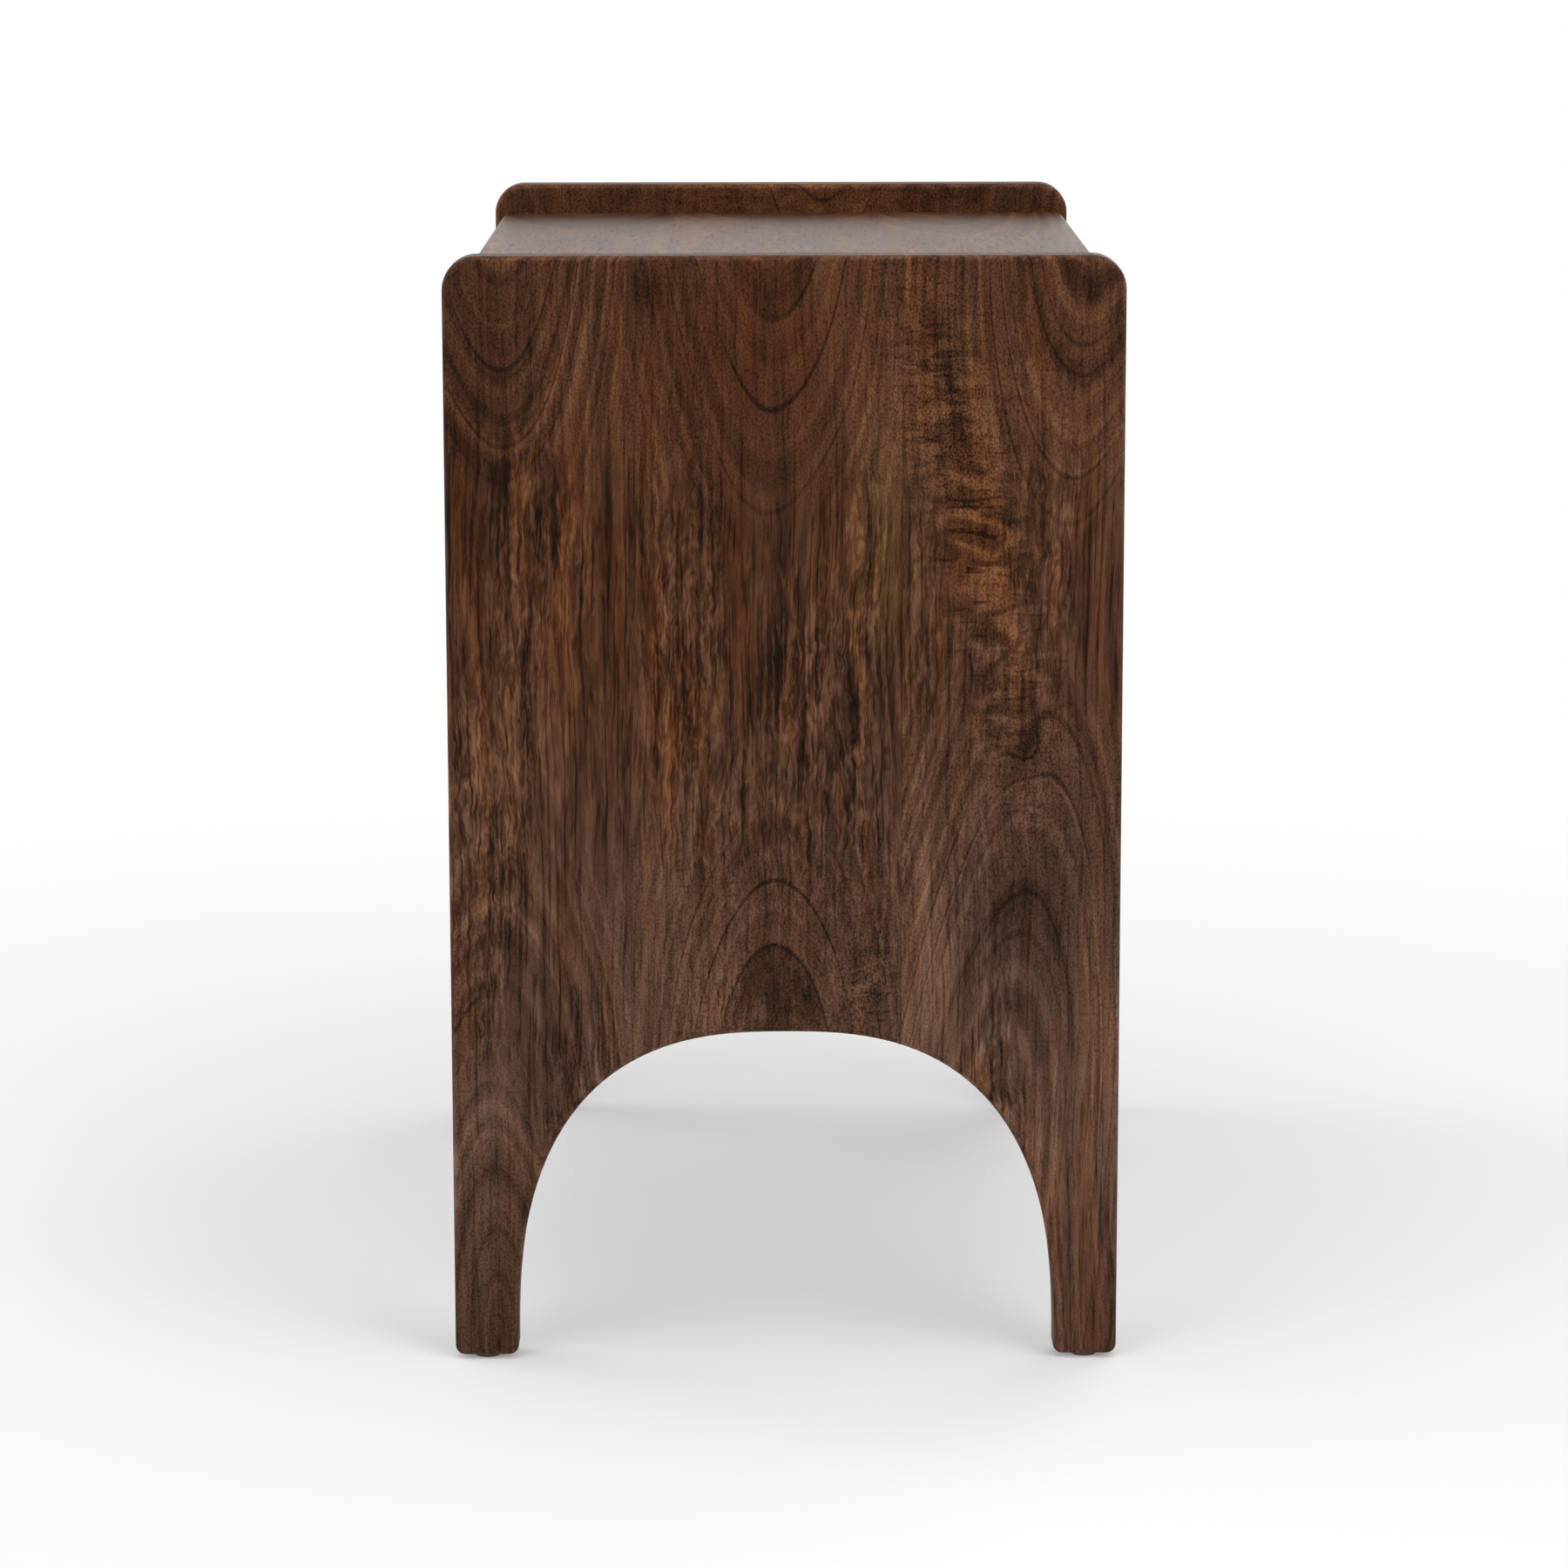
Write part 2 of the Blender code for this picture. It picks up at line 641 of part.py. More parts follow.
def build_drawer(drawer, bay, finishes, slide_screw, face_screw):
    face_low, face_high = bay + REVEAL, bay + BAY - REVEAL
    low, high = face_low + BOX_RISE, face_high - BOX_DROP
    carrier = add_carrier(f"{drawer}_drawer", (0, FACE_FRONT, (face_low + face_high) / 2))

    face = add_prism(bmesh.new(), face_outline(face_low, face_high), 1, FACE_FRONT, FACE_FRONT + FACE)
    for plane in (FACE_FRONT, FACE_FRONT + FACE):
        ease(face, FACE_EASE, on_plane(1, plane))
    origin = (0, FACE_FRONT, (face_low + face_high) / 2)
    face = add_piece(f"{drawer}_drawer_face", face, finishes["dark_wood"], carrier, origin, SMOOTH_ANGLE)

    sockets = tail_sockets(f"{drawer}_tail_sockets", low)
    groove = build_box_bottom(drawer, low, carrier, finishes)
    rail_holes = build_rails(drawer, bay, carrier, finishes, slide_screw)
    face_holes = drive_face_screws(drawer, (low + high) / 2, carrier, finishes, face_screw)
    cut(face, face_holes)

    ends = {"front": (BOX_FRONT, BOX_FRONT + BOX_BOARD - FIT), "back": (BOX_BACK - BOX_BOARD + FIT, BOX_BACK)}
    for end, (near, far) in ends.items():
        board = add_box(bmesh.new(), (-BOX_OUTER, near, low), (BOX_OUTER, far, high))
        board = add_piece(f"{drawer}_drawer_box_{end}", board, finishes["box_wood"], carrier, (0, near, low))
        cut(board, sockets, groove)
        if end == "front":
            cut(board, face_holes)

    for side, sign in SIDES.items():
        reach = sorted((sign * (BOX_OUTER - BOX_BOARD), sign * BOX_OUTER))
        board = add_prism(bmesh.new(), side_outline(low), 0, *reach)
        origin = (sign * BOX_OUTER, BOX_FRONT, low)
        board = add_piece(f"{drawer}_drawer_box_{side}", board, finishes["box_wood"], carrier, origin)
        cut(board, groove, rail_holes)


def build_box_bottom(drawer, box_low, carrier, finishes):
    """Bottom let into grooves in all four sides of a box, and the cutter for those grooves."""
    across = BOX_OUTER - BOX_BOARD + BOX_GROOVE - FIT
    inset = BOX_BOARD - BOX_GROOVE + FIT
    under = box_low + BOX_BOTTOM_RISE
    low = (-across, BOX_FRONT + inset, under)
    high = (across, BOX_BACK - inset, under + BOX_BOTTOM)
    bottom = add_box(bmesh.new(), low, high)
    name = f"{drawer}_drawer_box_bottom"
    add_piece(name, bottom, finishes["sheet_wood"], carrier, (0, BOX_FRONT, under))
    groove = add_box(bmesh.new(), [place - FIT for place in low], [place + FIT for place in high])
    return add_cutter(f"{drawer}_box_groove", groove)


def build_rails(drawer, bay, carrier, finishes, mesh):
    """Inner rails on a drawer's box with their screws, and the cutter for those screws."""
    height = slide_line(bay)
    section = [
        (RAIL_BACK, RAIL_HALF),
        (RAIL_EDGE, RAIL_HALF),
        (RAIL_EDGE, RAIL_HALF - SLIDE_SHEET),
        (RAIL_WEB, RAIL_HALF - SLIDE_SHEET),
    ]
    holes = bmesh.new()
    rails = []
    for side, sign in SIDES.items():
        name = f"{drawer}_slide_rail_{side}"
        rail = add_prism(bmesh.new(), slide_section(section, sign, height), 1, BOX_FRONT, BOX_BACK)
        origin = (sign * BOX_OUTER, BOX_FRONT, height)
        rails.append(add_piece(name, rail, finishes["zinc"], carrier, origin))
        for end, place in screw_places(RAIL_SCREW_INSET).items():
            seat = (sign * (INNER - RAIL_WEB + FIT), place, height)
            along = (-sign, 0, 0)
            drive_screw(f"{name}_screw_{end}", mesh, finishes["zinc"], carrier, seat, along)
            screw_hole(holes, seat, along, SLIDE_SCREW_LENGTH)
    holes = add_cutter(f"{drawer}_rail_screw_holes", holes)
    for rail in rails:
        cut(rail, holes)
    return holes


def drive_face_screws(drawer, height, carrier, finishes, mesh):
    """Screws from inside the box into the drawer face, and the cutter for them."""
    holes = bmesh.new()
    for side, sign in SIDES.items():
        seat = (sign * FACE_SCREW_SPREAD / 2, BOX_FRONT + BOX_BOARD, height)
        along = (0, -1, 0)
        drive_screw(f"{drawer}_face_screw_{side}", mesh, finishes["zinc"], carrier, seat, along)
        screw_hole(holes, seat, along, FACE_SCREW_LENGTH)
    return add_cutter(f"{drawer}_face_screw_holes", holes)


def main():
    clear_scene()
    finishes = make_finishes()
    slide_screw = screw_mesh("slide_screw", SLIDE_SCREW_LENGTH)
    face_screw = screw_mesh("face_screw", FACE_SCREW_LENGTH)

    case = add_carrier("case", (0, 0, 0))
    back_groove = build_back(case, finishes)
    dowel_holes = build_dowels(case, finishes)
    nail_holes = build_glides(case, finishes)
    housings = build_cross_boards(case, finishes, back_groove)
    channel_holes = build_channels(case, finishes, slide_screw)
    build_top(case, finishes, (dowel_holes, back_groove))
    build_slabs(case, finishes, (housings, back_groove, dowel_holes, nail_holes, channel_holes))

    for drawer, bay in BAYS.items():
        build_cages(drawer, bay, finishes)
        build_drawer(drawer, bay, finishes, slide_screw, face_screw)


main()
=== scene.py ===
import math

import bmesh
import bpy
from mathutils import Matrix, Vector


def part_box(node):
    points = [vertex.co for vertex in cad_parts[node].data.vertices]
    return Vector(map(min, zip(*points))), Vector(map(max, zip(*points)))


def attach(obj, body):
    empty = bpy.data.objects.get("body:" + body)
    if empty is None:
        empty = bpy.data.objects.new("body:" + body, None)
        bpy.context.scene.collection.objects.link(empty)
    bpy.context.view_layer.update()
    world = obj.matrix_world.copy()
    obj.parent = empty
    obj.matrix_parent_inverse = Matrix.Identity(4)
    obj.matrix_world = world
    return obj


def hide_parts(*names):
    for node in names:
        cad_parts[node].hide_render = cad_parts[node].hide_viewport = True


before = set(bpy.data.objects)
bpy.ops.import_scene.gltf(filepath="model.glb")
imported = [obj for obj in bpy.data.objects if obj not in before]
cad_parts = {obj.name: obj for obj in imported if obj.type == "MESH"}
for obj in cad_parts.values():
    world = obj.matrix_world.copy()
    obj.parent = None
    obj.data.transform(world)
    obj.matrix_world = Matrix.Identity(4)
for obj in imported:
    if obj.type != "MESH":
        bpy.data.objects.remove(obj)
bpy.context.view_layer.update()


# Camera, light and floor

viewpoint = {
    "place": (3.1814, -0.0096, 0.8696),
    "turn": (79.514002, 0.091439, 89.803088),  # degrees
    "lens": 118.89, "sensor": 36.0,
}

plainSoftbox = {"aim": (0, 0, 0.3), "size": 1.8, "tint": (1, 1, 1)}
softboxes = {
    "overhead": {"place": (0.3, 0.1, 2.7), "size": 2.4, "power": 34, "tint": (1, 0.99, 0.98)},
    "keyRear": {"place": (2.5, 1.9, 1.9), "aim": (0.2, 0, 0.3), "power": 34, "tint": (1, 0.98, 0.96)},
    "keyFront": {"place": (2.5, -1.9, 1.7), "aim": (0.2, 0, 0.3), "power": 22, "tint": (1, 0.99, 0.98)},
    "backFill": {"place": (-2.4, 1.6, 1.8), "power": 20},
    "frontFill": {"place": (-0.8, -2.7, 1.7), "power": 24},
}

studio = {
    "white": (1, 1, 1, 1), "worldFill": 0.50, "floorSize": 14.0, "floorColour": (0.82, 0.82, 0.82, 1),
    "floorGlow": 0.16,  # least share of plain white, near the object, where its shadow has to show
    "glowReach": (0.62, 1.5),  # distances over which the floor turns to plain white
    "glowUnder": 0.26,  # a little more white below the case
    "underReach": (0.05, 0.5),
}


def clearSelection():
    if bpy.context.object and bpy.context.object.mode != "OBJECT":
        bpy.ops.object.mode_set(mode="OBJECT")
    bpy.ops.object.select_all(action="DESELECT")


def setCamera():
    clearSelection()
    turn = [math.radians(angle) for angle in viewpoint["turn"]]
    bpy.ops.object.camera_add(location=viewpoint["place"], rotation=turn)
    camera = bpy.context.object
    camera.data.lens = viewpoint["lens"]
    camera.data.sensor_width = viewpoint["sensor"]
    bpy.context.scene.camera = camera


def addSoftboxes():
    for name, own in softboxes.items():
        box = {**plainSoftbox, **own}
        clearSelection()
        ahead = Vector(box["aim"]) - Vector(box["place"])
        turn = ahead.to_track_quat("-Z", "Y").to_euler()
        bpy.ops.object.light_add(type="AREA", location=box["place"], rotation=turn)
        lamp = bpy.context.object
        lamp.name = name
        lamp.data.shape = "SQUARE"
        lamp.data.size = box["size"]
        lamp.data.energy = box["power"]
        lamp.data.color = box["tint"]


# Shader maths: a wire carries one value, and an expression on wires adds its Math nodes


def operator(operation, swapped=False):
    def apply(wire, value):
        return wire.math(operation, *((value, wire) if swapped else (wire, value)))
    return apply


class Wire:
    def __init__(self, tree, socket=None):
        self.tree = tree
        self.socket = socket

    def node(self, kind, sockets=None, output=0, **settings):
        made = self.tree.nodes.new("ShaderNode" + kind)
        for name, value in settings.items():
            if name == "stops":
                setStops(made.color_ramp, value)
            else:
                setattr(made, name, value)
        for name, value in (sockets or {}).items():
            if isinstance(value, Wire):
                self.tree.links.new(value.socket, made.inputs[name])
            else:
                made.inputs[name].default_value = value
        return Wire(self.tree, made.outputs[output] if made.outputs else None)

    def other(self, output):
        return Wire(self.tree, self.socket.node.outputs[output])

    def math(self, operation, *values):
        return self.node("Math", dict(enumerate(values)), operation=operation)

    __add__ = __radd__ = operator("ADD")
    __sub__ = operator("SUBTRACT")
    __rsub__ = operator("SUBTRACT", swapped=True)
    __mul__ = __rmul__ = operator("MULTIPLY")
    __pow__ = operator("POWER")
    __rpow__ = operator("POWER", swapped=True)
    __gt__ = operator("GREATER_THAN")

    def __abs__(self):
        return self.math("ABSOLUTE", self)


def setStops(ramp, stops):
    while len(ramp.elements) > 1:
        ramp.elements.remove(ramp.elements[-1])
    for index, (place, colour) in enumerate(stops):
        stop = ramp.elements.new(place) if index else ramp.elements[0]
        stop.position = place
        stop.color = (*colour, 1)


def ease(value, low, high):
    # 0 up to low, 1 past high, smooth between
    edges = {"From Min": low, "From Max": high, "To Min": 0.0, "To Max": 1.0}
    return value.node("MapRange", {"Value": value, **edges}, interpolation_type="SMOOTHSTEP")


def noise(x, y, z, detail=1.0, rough=0.5, warp=0.0):
    where = x.node("CombineXYZ", {"X": x, "Y": y, "Z": z})
    sockets = {"Vector": where, "Scale": 1.0, "Detail": detail, "Roughness": rough, "Distortion": warp}
    return x.node("TexNoise", sockets, noise_dimensions="3D")


def field(x, y, z, edges=None, *rest):
    # eased to 0 and 1, or about 0
    value = noise(x, y, z, *rest)
    return ease(value, *edges) if edges else value - 0.5


def lineNoise(w):
    return w.node("TexNoise", {"W": w, "Scale": 1.0, "Detail": 2.0}, noise_dimensions="1D")


def dice(w):
    return w.node("TexWhiteNoise", {"W": w}, noise_dimensions="1D")


def mixColour(factor, one, two, blend="MIX"):
    return factor.node("Mix", {0: factor, 6: one, 7: two}, 2, data_type="RGBA", blend_type=blend)


def weigh(total, marks, weights):
    for name, weight in weights.items():
        total = total + marks[name] * weight
    return total


def newFinish(name):
    finish = bpy.data.materials.new(name)
    finish.use_nodes = True
    finish.node_tree.nodes.clear()
    return finish, Wire(finish.node_tree)


def objectAxes(start, centre=(0, 0, 0)):
    place = start.node("TexCoord", output="Object")
    shift = [-value for value in centre]
    place = start.node("Mapping", {"Vector": place, "Location": shift})
    x = start.node("SeparateXYZ", {"Vector": place}, "X")
    return {"X": x, "Y": x.other("Y"), "Z": x.other("Z")}


def closeFinish(start, bump, reach, height, sockets):
    relief = start.node("Bump", {"Strength": bump, "Distance": reach, "Height": height})
    shader = start.node("BsdfPrincipled", {**sockets, "Normal": relief})
    start.node("OutputMaterial", {"Surface": shader})


def plainLight(start):
    # rays that see the plain white studio: the camera's, and those in gloss and glass
    rays = start.node("LightPath", output="Is Camera Ray")
    seen = rays + rays.other("Is Glossy Ray") + rays.other("Is Transmission Ray")
    return start.math("MINIMUM", seen, 1.0)


def addFloor():
    clearSelection()
    bpy.ops.mesh.primitive_plane_add(size=studio["floorSize"], location=(0, 0, 0))
    floor = bpy.context.object
    floor.name = "studioFloor"
    finish, start = newFinish("studioFloor")
    axes = objectAxes(start)
    away = (axes["X"] * axes["X"] + axes["Y"] * axes["Y"]) ** 0.5
    glow = studio["floorGlow"]
    share = glow + ease(away, *studio["glowReach"]) * (1 - glow)
    share = share + (1 - ease(away, *studio["underReach"])) * studio["glowUnder"]
    matt = start.node("BsdfDiffuse", {"Color": studio["floorColour"]})
    white = start.node("Emission", {"Color": studio["white"], "Strength": 1.0})
    surface = start.node("MixShader", {0: share * plainLight(start), 1: matt, 2: white})
    start.node("OutputMaterial", {"Surface": surface})
    floor.data.materials.append(finish)


def setWorld():
    world = bpy.data.worlds.new("studioWorld")
    bpy.context.scene.world = world
    world.use_nodes = True
    world.node_tree.nodes.clear()
    start = Wire(world.node_tree)
    fill = start.node("Background", {"Color": studio["white"], "Strength": studio["worldFill"]})
    white = start.node("Background", {"Color": studio["white"], "Strength": 1.0})
    surface = start.node("MixShader", {0: plainLight(start), 1: fill, 2: white})
    start.node("OutputWorld", {"Surface": surface})


setCamera()
addSoftboxes()
addFloor()
setWorld()
bpy.context.scene.view_settings.view_transform = "Standard"
print("studio: camera,", len(softboxes), "softboxes, floor and world")


# Wood. A board is glued from staves, each cut from its own log: the growth rings are cylinders about a
# pith that lies under the face and rises towards the ends, so the same rings give straight lines along
# the middle, arches and loops at the ends and arcs on the end grain.

darkStain = {
    "stops": (
        (0.00, (0.0062, 0.0027, 0.0015)), (0.25, (0.0240, 0.0083, 0.0034)),
        (0.50, (0.0573, 0.0220, 0.0102)), (0.75, (0.1070, 0.0442, 0.0215)),
        (1.00, (0.1950, 0.0885, 0.0415)),
    ),
    "grey": (0.94, 0.98, 1.10, 1),  # cooler, greyer patches multiply the stain by this
    "warm": (1.14, 1.00, 0.82, 1),  # and streaks of heartwood by this
    "contrast": 1.1,
    "fine": 1.0,  # how much of the fibres and pores shows
    "gloss": 0.42, "specular": 0.07,
    "glint": (1, 0.93, 0.86, 1),  # colour of the wax's shine
    "bump": 0.12,
}

topStainWithPaintedSheen = {
    **darkStain,
    # on the top board the patch and streak multipliers lighten and warm the stain: painted sheen, for the
    # grazing shine on the top
    "grey": (1.10, 1.12, 1.02, 1), "warm": (1.40, 1.26, 0.92, 1), "contrast": 0.95, "fine": 0.4,
    "gloss": 0.34, "specular": 0.15, "bump": 0.03,
}

oiledHoney = {
    "stops": (
        (0.00, (0.085, 0.040, 0.016)), (0.25, (0.190, 0.100, 0.042)),
        (0.50, (0.300, 0.170, 0.078)), (0.75, (0.400, 0.245, 0.122)),
        (1.00, (0.540, 0.360, 0.200)),
    ),
    "grey": (0.92, 0.98, 1.05, 1), "warm": (1.06, 1.00, 0.92, 1), "contrast": 0.75, "fine": 1.0,
    "gloss": 0.52, "specular": 0.25, "glint": (1, 0.97, 0.93, 1), "bump": 0.20,
}

paleVeneer = {
    "stops": (
        (0.00, (0.260, 0.150, 0.070)), (0.25, (0.400, 0.255, 0.132)),
        (0.50, (0.520, 0.350, 0.196)), (0.75, (0.610, 0.430, 0.255)),
        (1.00, (0.720, 0.540, 0.350)),
    ),
    "grey": (0.97, 0.99, 1.03, 1), "warm": (1.03, 1.00, 0.95, 1), "contrast": 0.55, "fine": 1.0,
    "gloss": 0.55, "specular": 0.3, "glint": (1, 1, 1, 1), "bump": 0.14,
}

grainFields = {
    # scale across and along the grain, shift, where it is eased, detail, roughness, warp
    "lively": (16, 2.4, 30.0, (0.44, 0.60)),
    "sway": (14, 5, 1.7),
    "fineSway": (60, 20, 2.9),
    "wavySway": (130, 95, 3.3),
    "wander": (5, 2.4, 4.1),
    "ripple": (13, 6, 5.3),
    "fray": (330, 120, 8.3),
    "gaps": (16, 7, 12.9, (0.34, 0.52)),
    "broad": (11, 2.6, 21.0, None, 2),
    "streak": (110, 7, 27.0, (0.38, 0.62), 2, 0.6),
    "fleck": (250, 36, 33.0, (0.40, 0.60), 3, 0.65, 1.1),
    "mottle": (150, 52, 41.0, (0.42, 0.58), 2, 0.6, 1.8),
    "fibre": (700, 56, 36.0, None, 1, 0.6),
    "hairs": (460, 9, 37.0, (0.56, 0.62)),
    "pores": (480, 30, 39.0, (0.58, 0.66)),
    "curl": (44, 70, 51.0, (0.38, 0.62), 1, 0.5, 1.0),
    "curlLines": (34, 170, 55.0, (0.58, 0.66), 1, 0.5, 1.0),
    "rubbed": (40, 40, 57.0, (0.35, 0.60)),
    "cool": (8, 3.2, 60.0),
    "fineCool": (60, 14, 63.0),
    "warm": (60, 7, 66.0, (0.48, 0.62)),
}

# how far the fibres stray, in metres
fibreSway = {"sway": 0.012, "fineSway": 0.0028, "wavySway": 0.0036}

growth = {
    "wander": 0.022,  # how far the pith strays
    "ripple": 0.007, "fray": 0.0016,
    "turn": 0.08,  # length over which the pith starts to rise
    "perMetre": 64,
    "uneven": 2.2,  # rings are up to this many years out of step
    "unevenScale": 30,
    "outline": (0.0001, 0.0006),  # distances over which a thin outline fades
    "runOut": (0.015, 0.09),  # rise of the pith over which its rings run out through the face
    "straight": 0.25,  # how much of the outlines and bands shows where they don't
    "bandScale": 230,
    "blend": (0.30, 1.0),  # part of a ring over which its shade turns to the next one's
    "blendShare": 0.9,
    "lateWood": (0.70, 0.97),
    "fainter": 0.15,  # each outline is so much fainter than the one before
}

bandShape = {"swell": 0.5, "light": (0.54, 0.62), "lightBy": 0.13, "dark": (0.38, 0.44), "darkBy": 0.12}
# shares hidden where the rings run out, and of the running out itself in fibrous places
hidden = {"marks": 0.55, "warm": 0.5, "runOut": 0.75}

pebbles = {"across": 820, "along": 560, "through": (610, 470), "middle": 0.42, "straight": 0.10}
curly = {"curl": 0.30, "curlLines": -0.26, "pebble": 0.34, "fewerMarks": 0.55, "fewerBands": 0.75}
seam = {"dark": 0.10, "reach": (0.0001, 0.0006)}
# lighter band on the rounded rims: partly wear, partly painted highlight
rimWearAndHighlight = {"light": 0.12, "reach": (0.0012, 0.0036), "face": (0.0001, 0.0007)}
coolPatch = {"broad": 0.75, "fine": 0.25, "edge": (-0.10, 0.12)}

markWeights = {
    "rings": 0.13, "broad": 0.42, "streak": 0.18, "fleck": 0.25, "mottle": 0.17, "fibre": 0.22,
    "pebble": 0.34, "late": -0.10, "lines": -0.28, "pores": -0.18, "hairs": -0.24,
}
toneLift = 0.03
glossWeights = {"pores": 0.12, "fleck": -0.08, "broad": 0.12}
reliefWeights = {"fleck": 0.4, "fibre": 0.3, "pores": -0.8, "hairs": -0.4, "pebble": 0.2}
reliefHeight = 0.0004


def stave(*places, slant=0.0, tone=0.0, bands=0.55, lines=(0.057, 0.047, 0.066, 0.030)):
    # edge: where it ends across the board; centre and depth: where its pith lies; low and high: where
    # the pith starts to rise, by rise and fall; bands: how far its rings show; lines: outlined rings
    keys = ("edge", "centre", "seed", "depth", "low", "rise", "high", "fall")
    rings = {f"line{index}": ring for index, ring in enumerate(lines)}
    return dict(zip(keys, places), slant=slant, tone=tone, bands=bands, **rings)


def oval(x, y, wide, tall, slant=0.0, **more):
    # soft spot on a board: where it lies across and along the grain, its half sizes and its lean
    return {"at": (x, y), "size": (wide, tall), "slant": slant, **more}


def spotAt(across, along, spot):
    (x, y), (wide, tall) = spot["at"], spot["size"]
    if spot["slant"]:
        across = across - along * spot["slant"]
        x = x - y * spot["slant"]
    away = across.node("CombineXYZ", {"X": across, "Y": along})
    stretch = {0: away, 1: (1 / wide, 1 / tall, 0), 2: (-x / wide, -y / tall, 0)}
    away = away.node("VectorMath", stretch, operation="MULTIPLY_ADD")
    squared = away.node("VectorMath", {0: away, 1: away}, "Value", operation="DOT_PRODUCT")
    return math.exp(-1) ** squared


def woodFinish(name, board, stain):
    finish, start = newFinish(name)
    axes = objectAxes(start, board["centre"])
    across, along, through = (axes[key] for key in board["axes"])
    staves = board["staves"]
    masks = [across > one["edge"] for one in staves[:-1]]

    def ofStave(key):
        value = staves[0][key]
        for mask, one, following in zip(masks, staves, staves[1:]):
            if following[key] != one[key]:
                value = mask * (following[key] - one[key]) + value
        return value

    def spots(kind):
        return [(spot, spotAt(across, along, spot)) for spot in board.get(kind, ())]

    def marksAlong(place, key):
        wide, tall, shift, *rest = grainFields[key]
        return field(place * wide + shift, along * tall + shift, through * wide, *rest)

    seed = ofStave("seed")
    shifted = across + seed

    def plain(key):
        return marksAlong(shifted, key)

    # the fibres wander a little, so nothing that follows them is ruled, and wave in curlier strips
    lively = plain("lively")
    for spot, mask in spots("lively"):
        lively = start.math("MAXIMUM", lively, mask)
    sways = {"sway": plain("sway"), "fineSway": plain("fineSway"), "wavySway": plain("wavySway") * lively}
    fibreAcross = weigh(shifted, sways, fibreSway)

    def grain(key):
        return marksAlong(fibreAcross, key)

    # growth rings
    offset = across - ofStave("centre") - along * ofStave("slant") + plain("wander") * growth["wander"]
    low = start.math("SMOOTH_MAX", ofStave("low") - along, 0.0, growth["turn"])
    high = start.math("SMOOTH_MAX", along - ofStave("high"), 0.0, growth["turn"])
    depth = ofStave("depth") - low * ofStave("rise") - high * ofStave("fall") + through
    ring = (offset * offset + depth * depth) ** 0.5 + plain("ripple") * growth["ripple"]
    for spot, mask in spots("knots"):
        ring = ring + mask * spot["push"]
    frayed = ring + plain("fray") * growth["fray"]

    # each ring has a shade of its own and darkens towards its outer line
    count = frayed * growth["perMetre"] + lineNoise(ring * growth["unevenScale"] + seed) * growth["uneven"]
    year = start.math("FLOOR", count)
    part = count - year
    draw = year + seed * 3.1
    shade = dice(draw)
    ringShade = shade + (dice(draw + 1) - shade) * ease(part, *growth["blend"]) * growth["blendShare"]
    late = ease(part, *growth["lateWood"]) * (1 - ease(part, growth["lateWood"][1], 1.0)) * dice(draw + 40.5)
    runOut = ease(low + high, *growth["runOut"])
    for spot, mask in spots("fibrous"):
        runOut = runOut * (1 - mask * hidden["runOut"])
    shown = growth["straight"] + (1 - growth["straight"]) * runOut
    lines = 0.0
    for index in range(4):
        line = 1 - ease(abs(ring - ofStave(f"line{index}")), *growth["outline"])
        lines = start.math("MAXIMUM", lines, line * (1 - growth["fainter"] * index))
    lines = lines * plain("gaps") * shown
    swell = lineNoise(frayed * growth["bandScale"] + seed * 5)
    bands = (swell - 0.5) * bandShape["swell"] + ease(swell, *bandShape["light"]) * bandShape["lightBy"]
    bands = bands - (1 - ease(swell, *bandShape["dark"])) * bandShape["darkBy"]
    bands = bands * shown * ofStave("bands")

    # marks along the grain, which give way to pebbles where the rings run out, and in curly patches
    patches = spots("figure")
    calm = stain["fine"] * (1 - hidden["marks"] * runOut)
    for patch, mask in patches:
        calm = calm * (1 - curly["fewerMarks"] * mask)
        bands = bands * (1 - curly["fewerBands"] * mask)
    x = fibreAcross * pebbles["across"] + through * pebbles["through"][0]
    y = along * pebbles["along"] + through * pebbles["through"][1]
    cell = start.node("CombineXYZ", {"X": x, "Y": y})
    cell = start.node("TexVoronoi", {"Vector": cell, "Scale": 1.0}, voronoi_dimensions="2D")
    pebble = pebbles["middle"] - cell
    marks = {
        "rings": ringShade - 0.5,
        "broad": plain("broad"),
        "streak": (grain("streak") - 0.5) * calm,
        "fleck": (grain("fleck") - 0.5) * (0.5 + 0.7 * lively) * calm,
        "mottle": (plain("mottle") - 0.5) * lively * calm,
        "fibre": grain("fibre") * calm,
        "hairs": grain("hairs") * calm,
        "pores": grain("pores") * calm,
        "pebble": pebble * (pebbles["straight"] + (1 - pebbles["straight"]) * runOut),
        "late": late,
        "lines": lines,
    }
    tone = weigh(bands + toneLift, marks, markWeights) * stain["contrast"] + 0.5 + ofStave("tone")
    for spot, mask in spots("spots"):
        tone = tone + mask * spot["tone"]
    if patches:
        curl = (plain("curl") - 0.5) * curly["curl"] + plain("curlLines") * curly["curlLines"]
        curl = curl + pebble * curly["pebble"]
    for patch, mask in patches:
        tone = tone + (curl + patch.get("lift", 0.0)) * mask * patch["tone"]
    for one in staves[:-1]:
        tone = tone - (1 - ease(abs(across - one["edge"]), *seam["reach"])) * seam["dark"]
    if "thickness" in board:
        # stain rubbed thin along the rounded rims, and a painted highlight there, where the rims catch the
        # overhead light
        inward = abs(through)
        inward = start.math("MINIMUM", inward, board["thickness"] - inward)
        rubbed = (1 - ease(inward, *rimWearAndHighlight["reach"])) * ease(inward, *rimWearAndHighlight["face"])
        tone = tone + rubbed * plain("rubbed") * rimWearAndHighlight["light"]

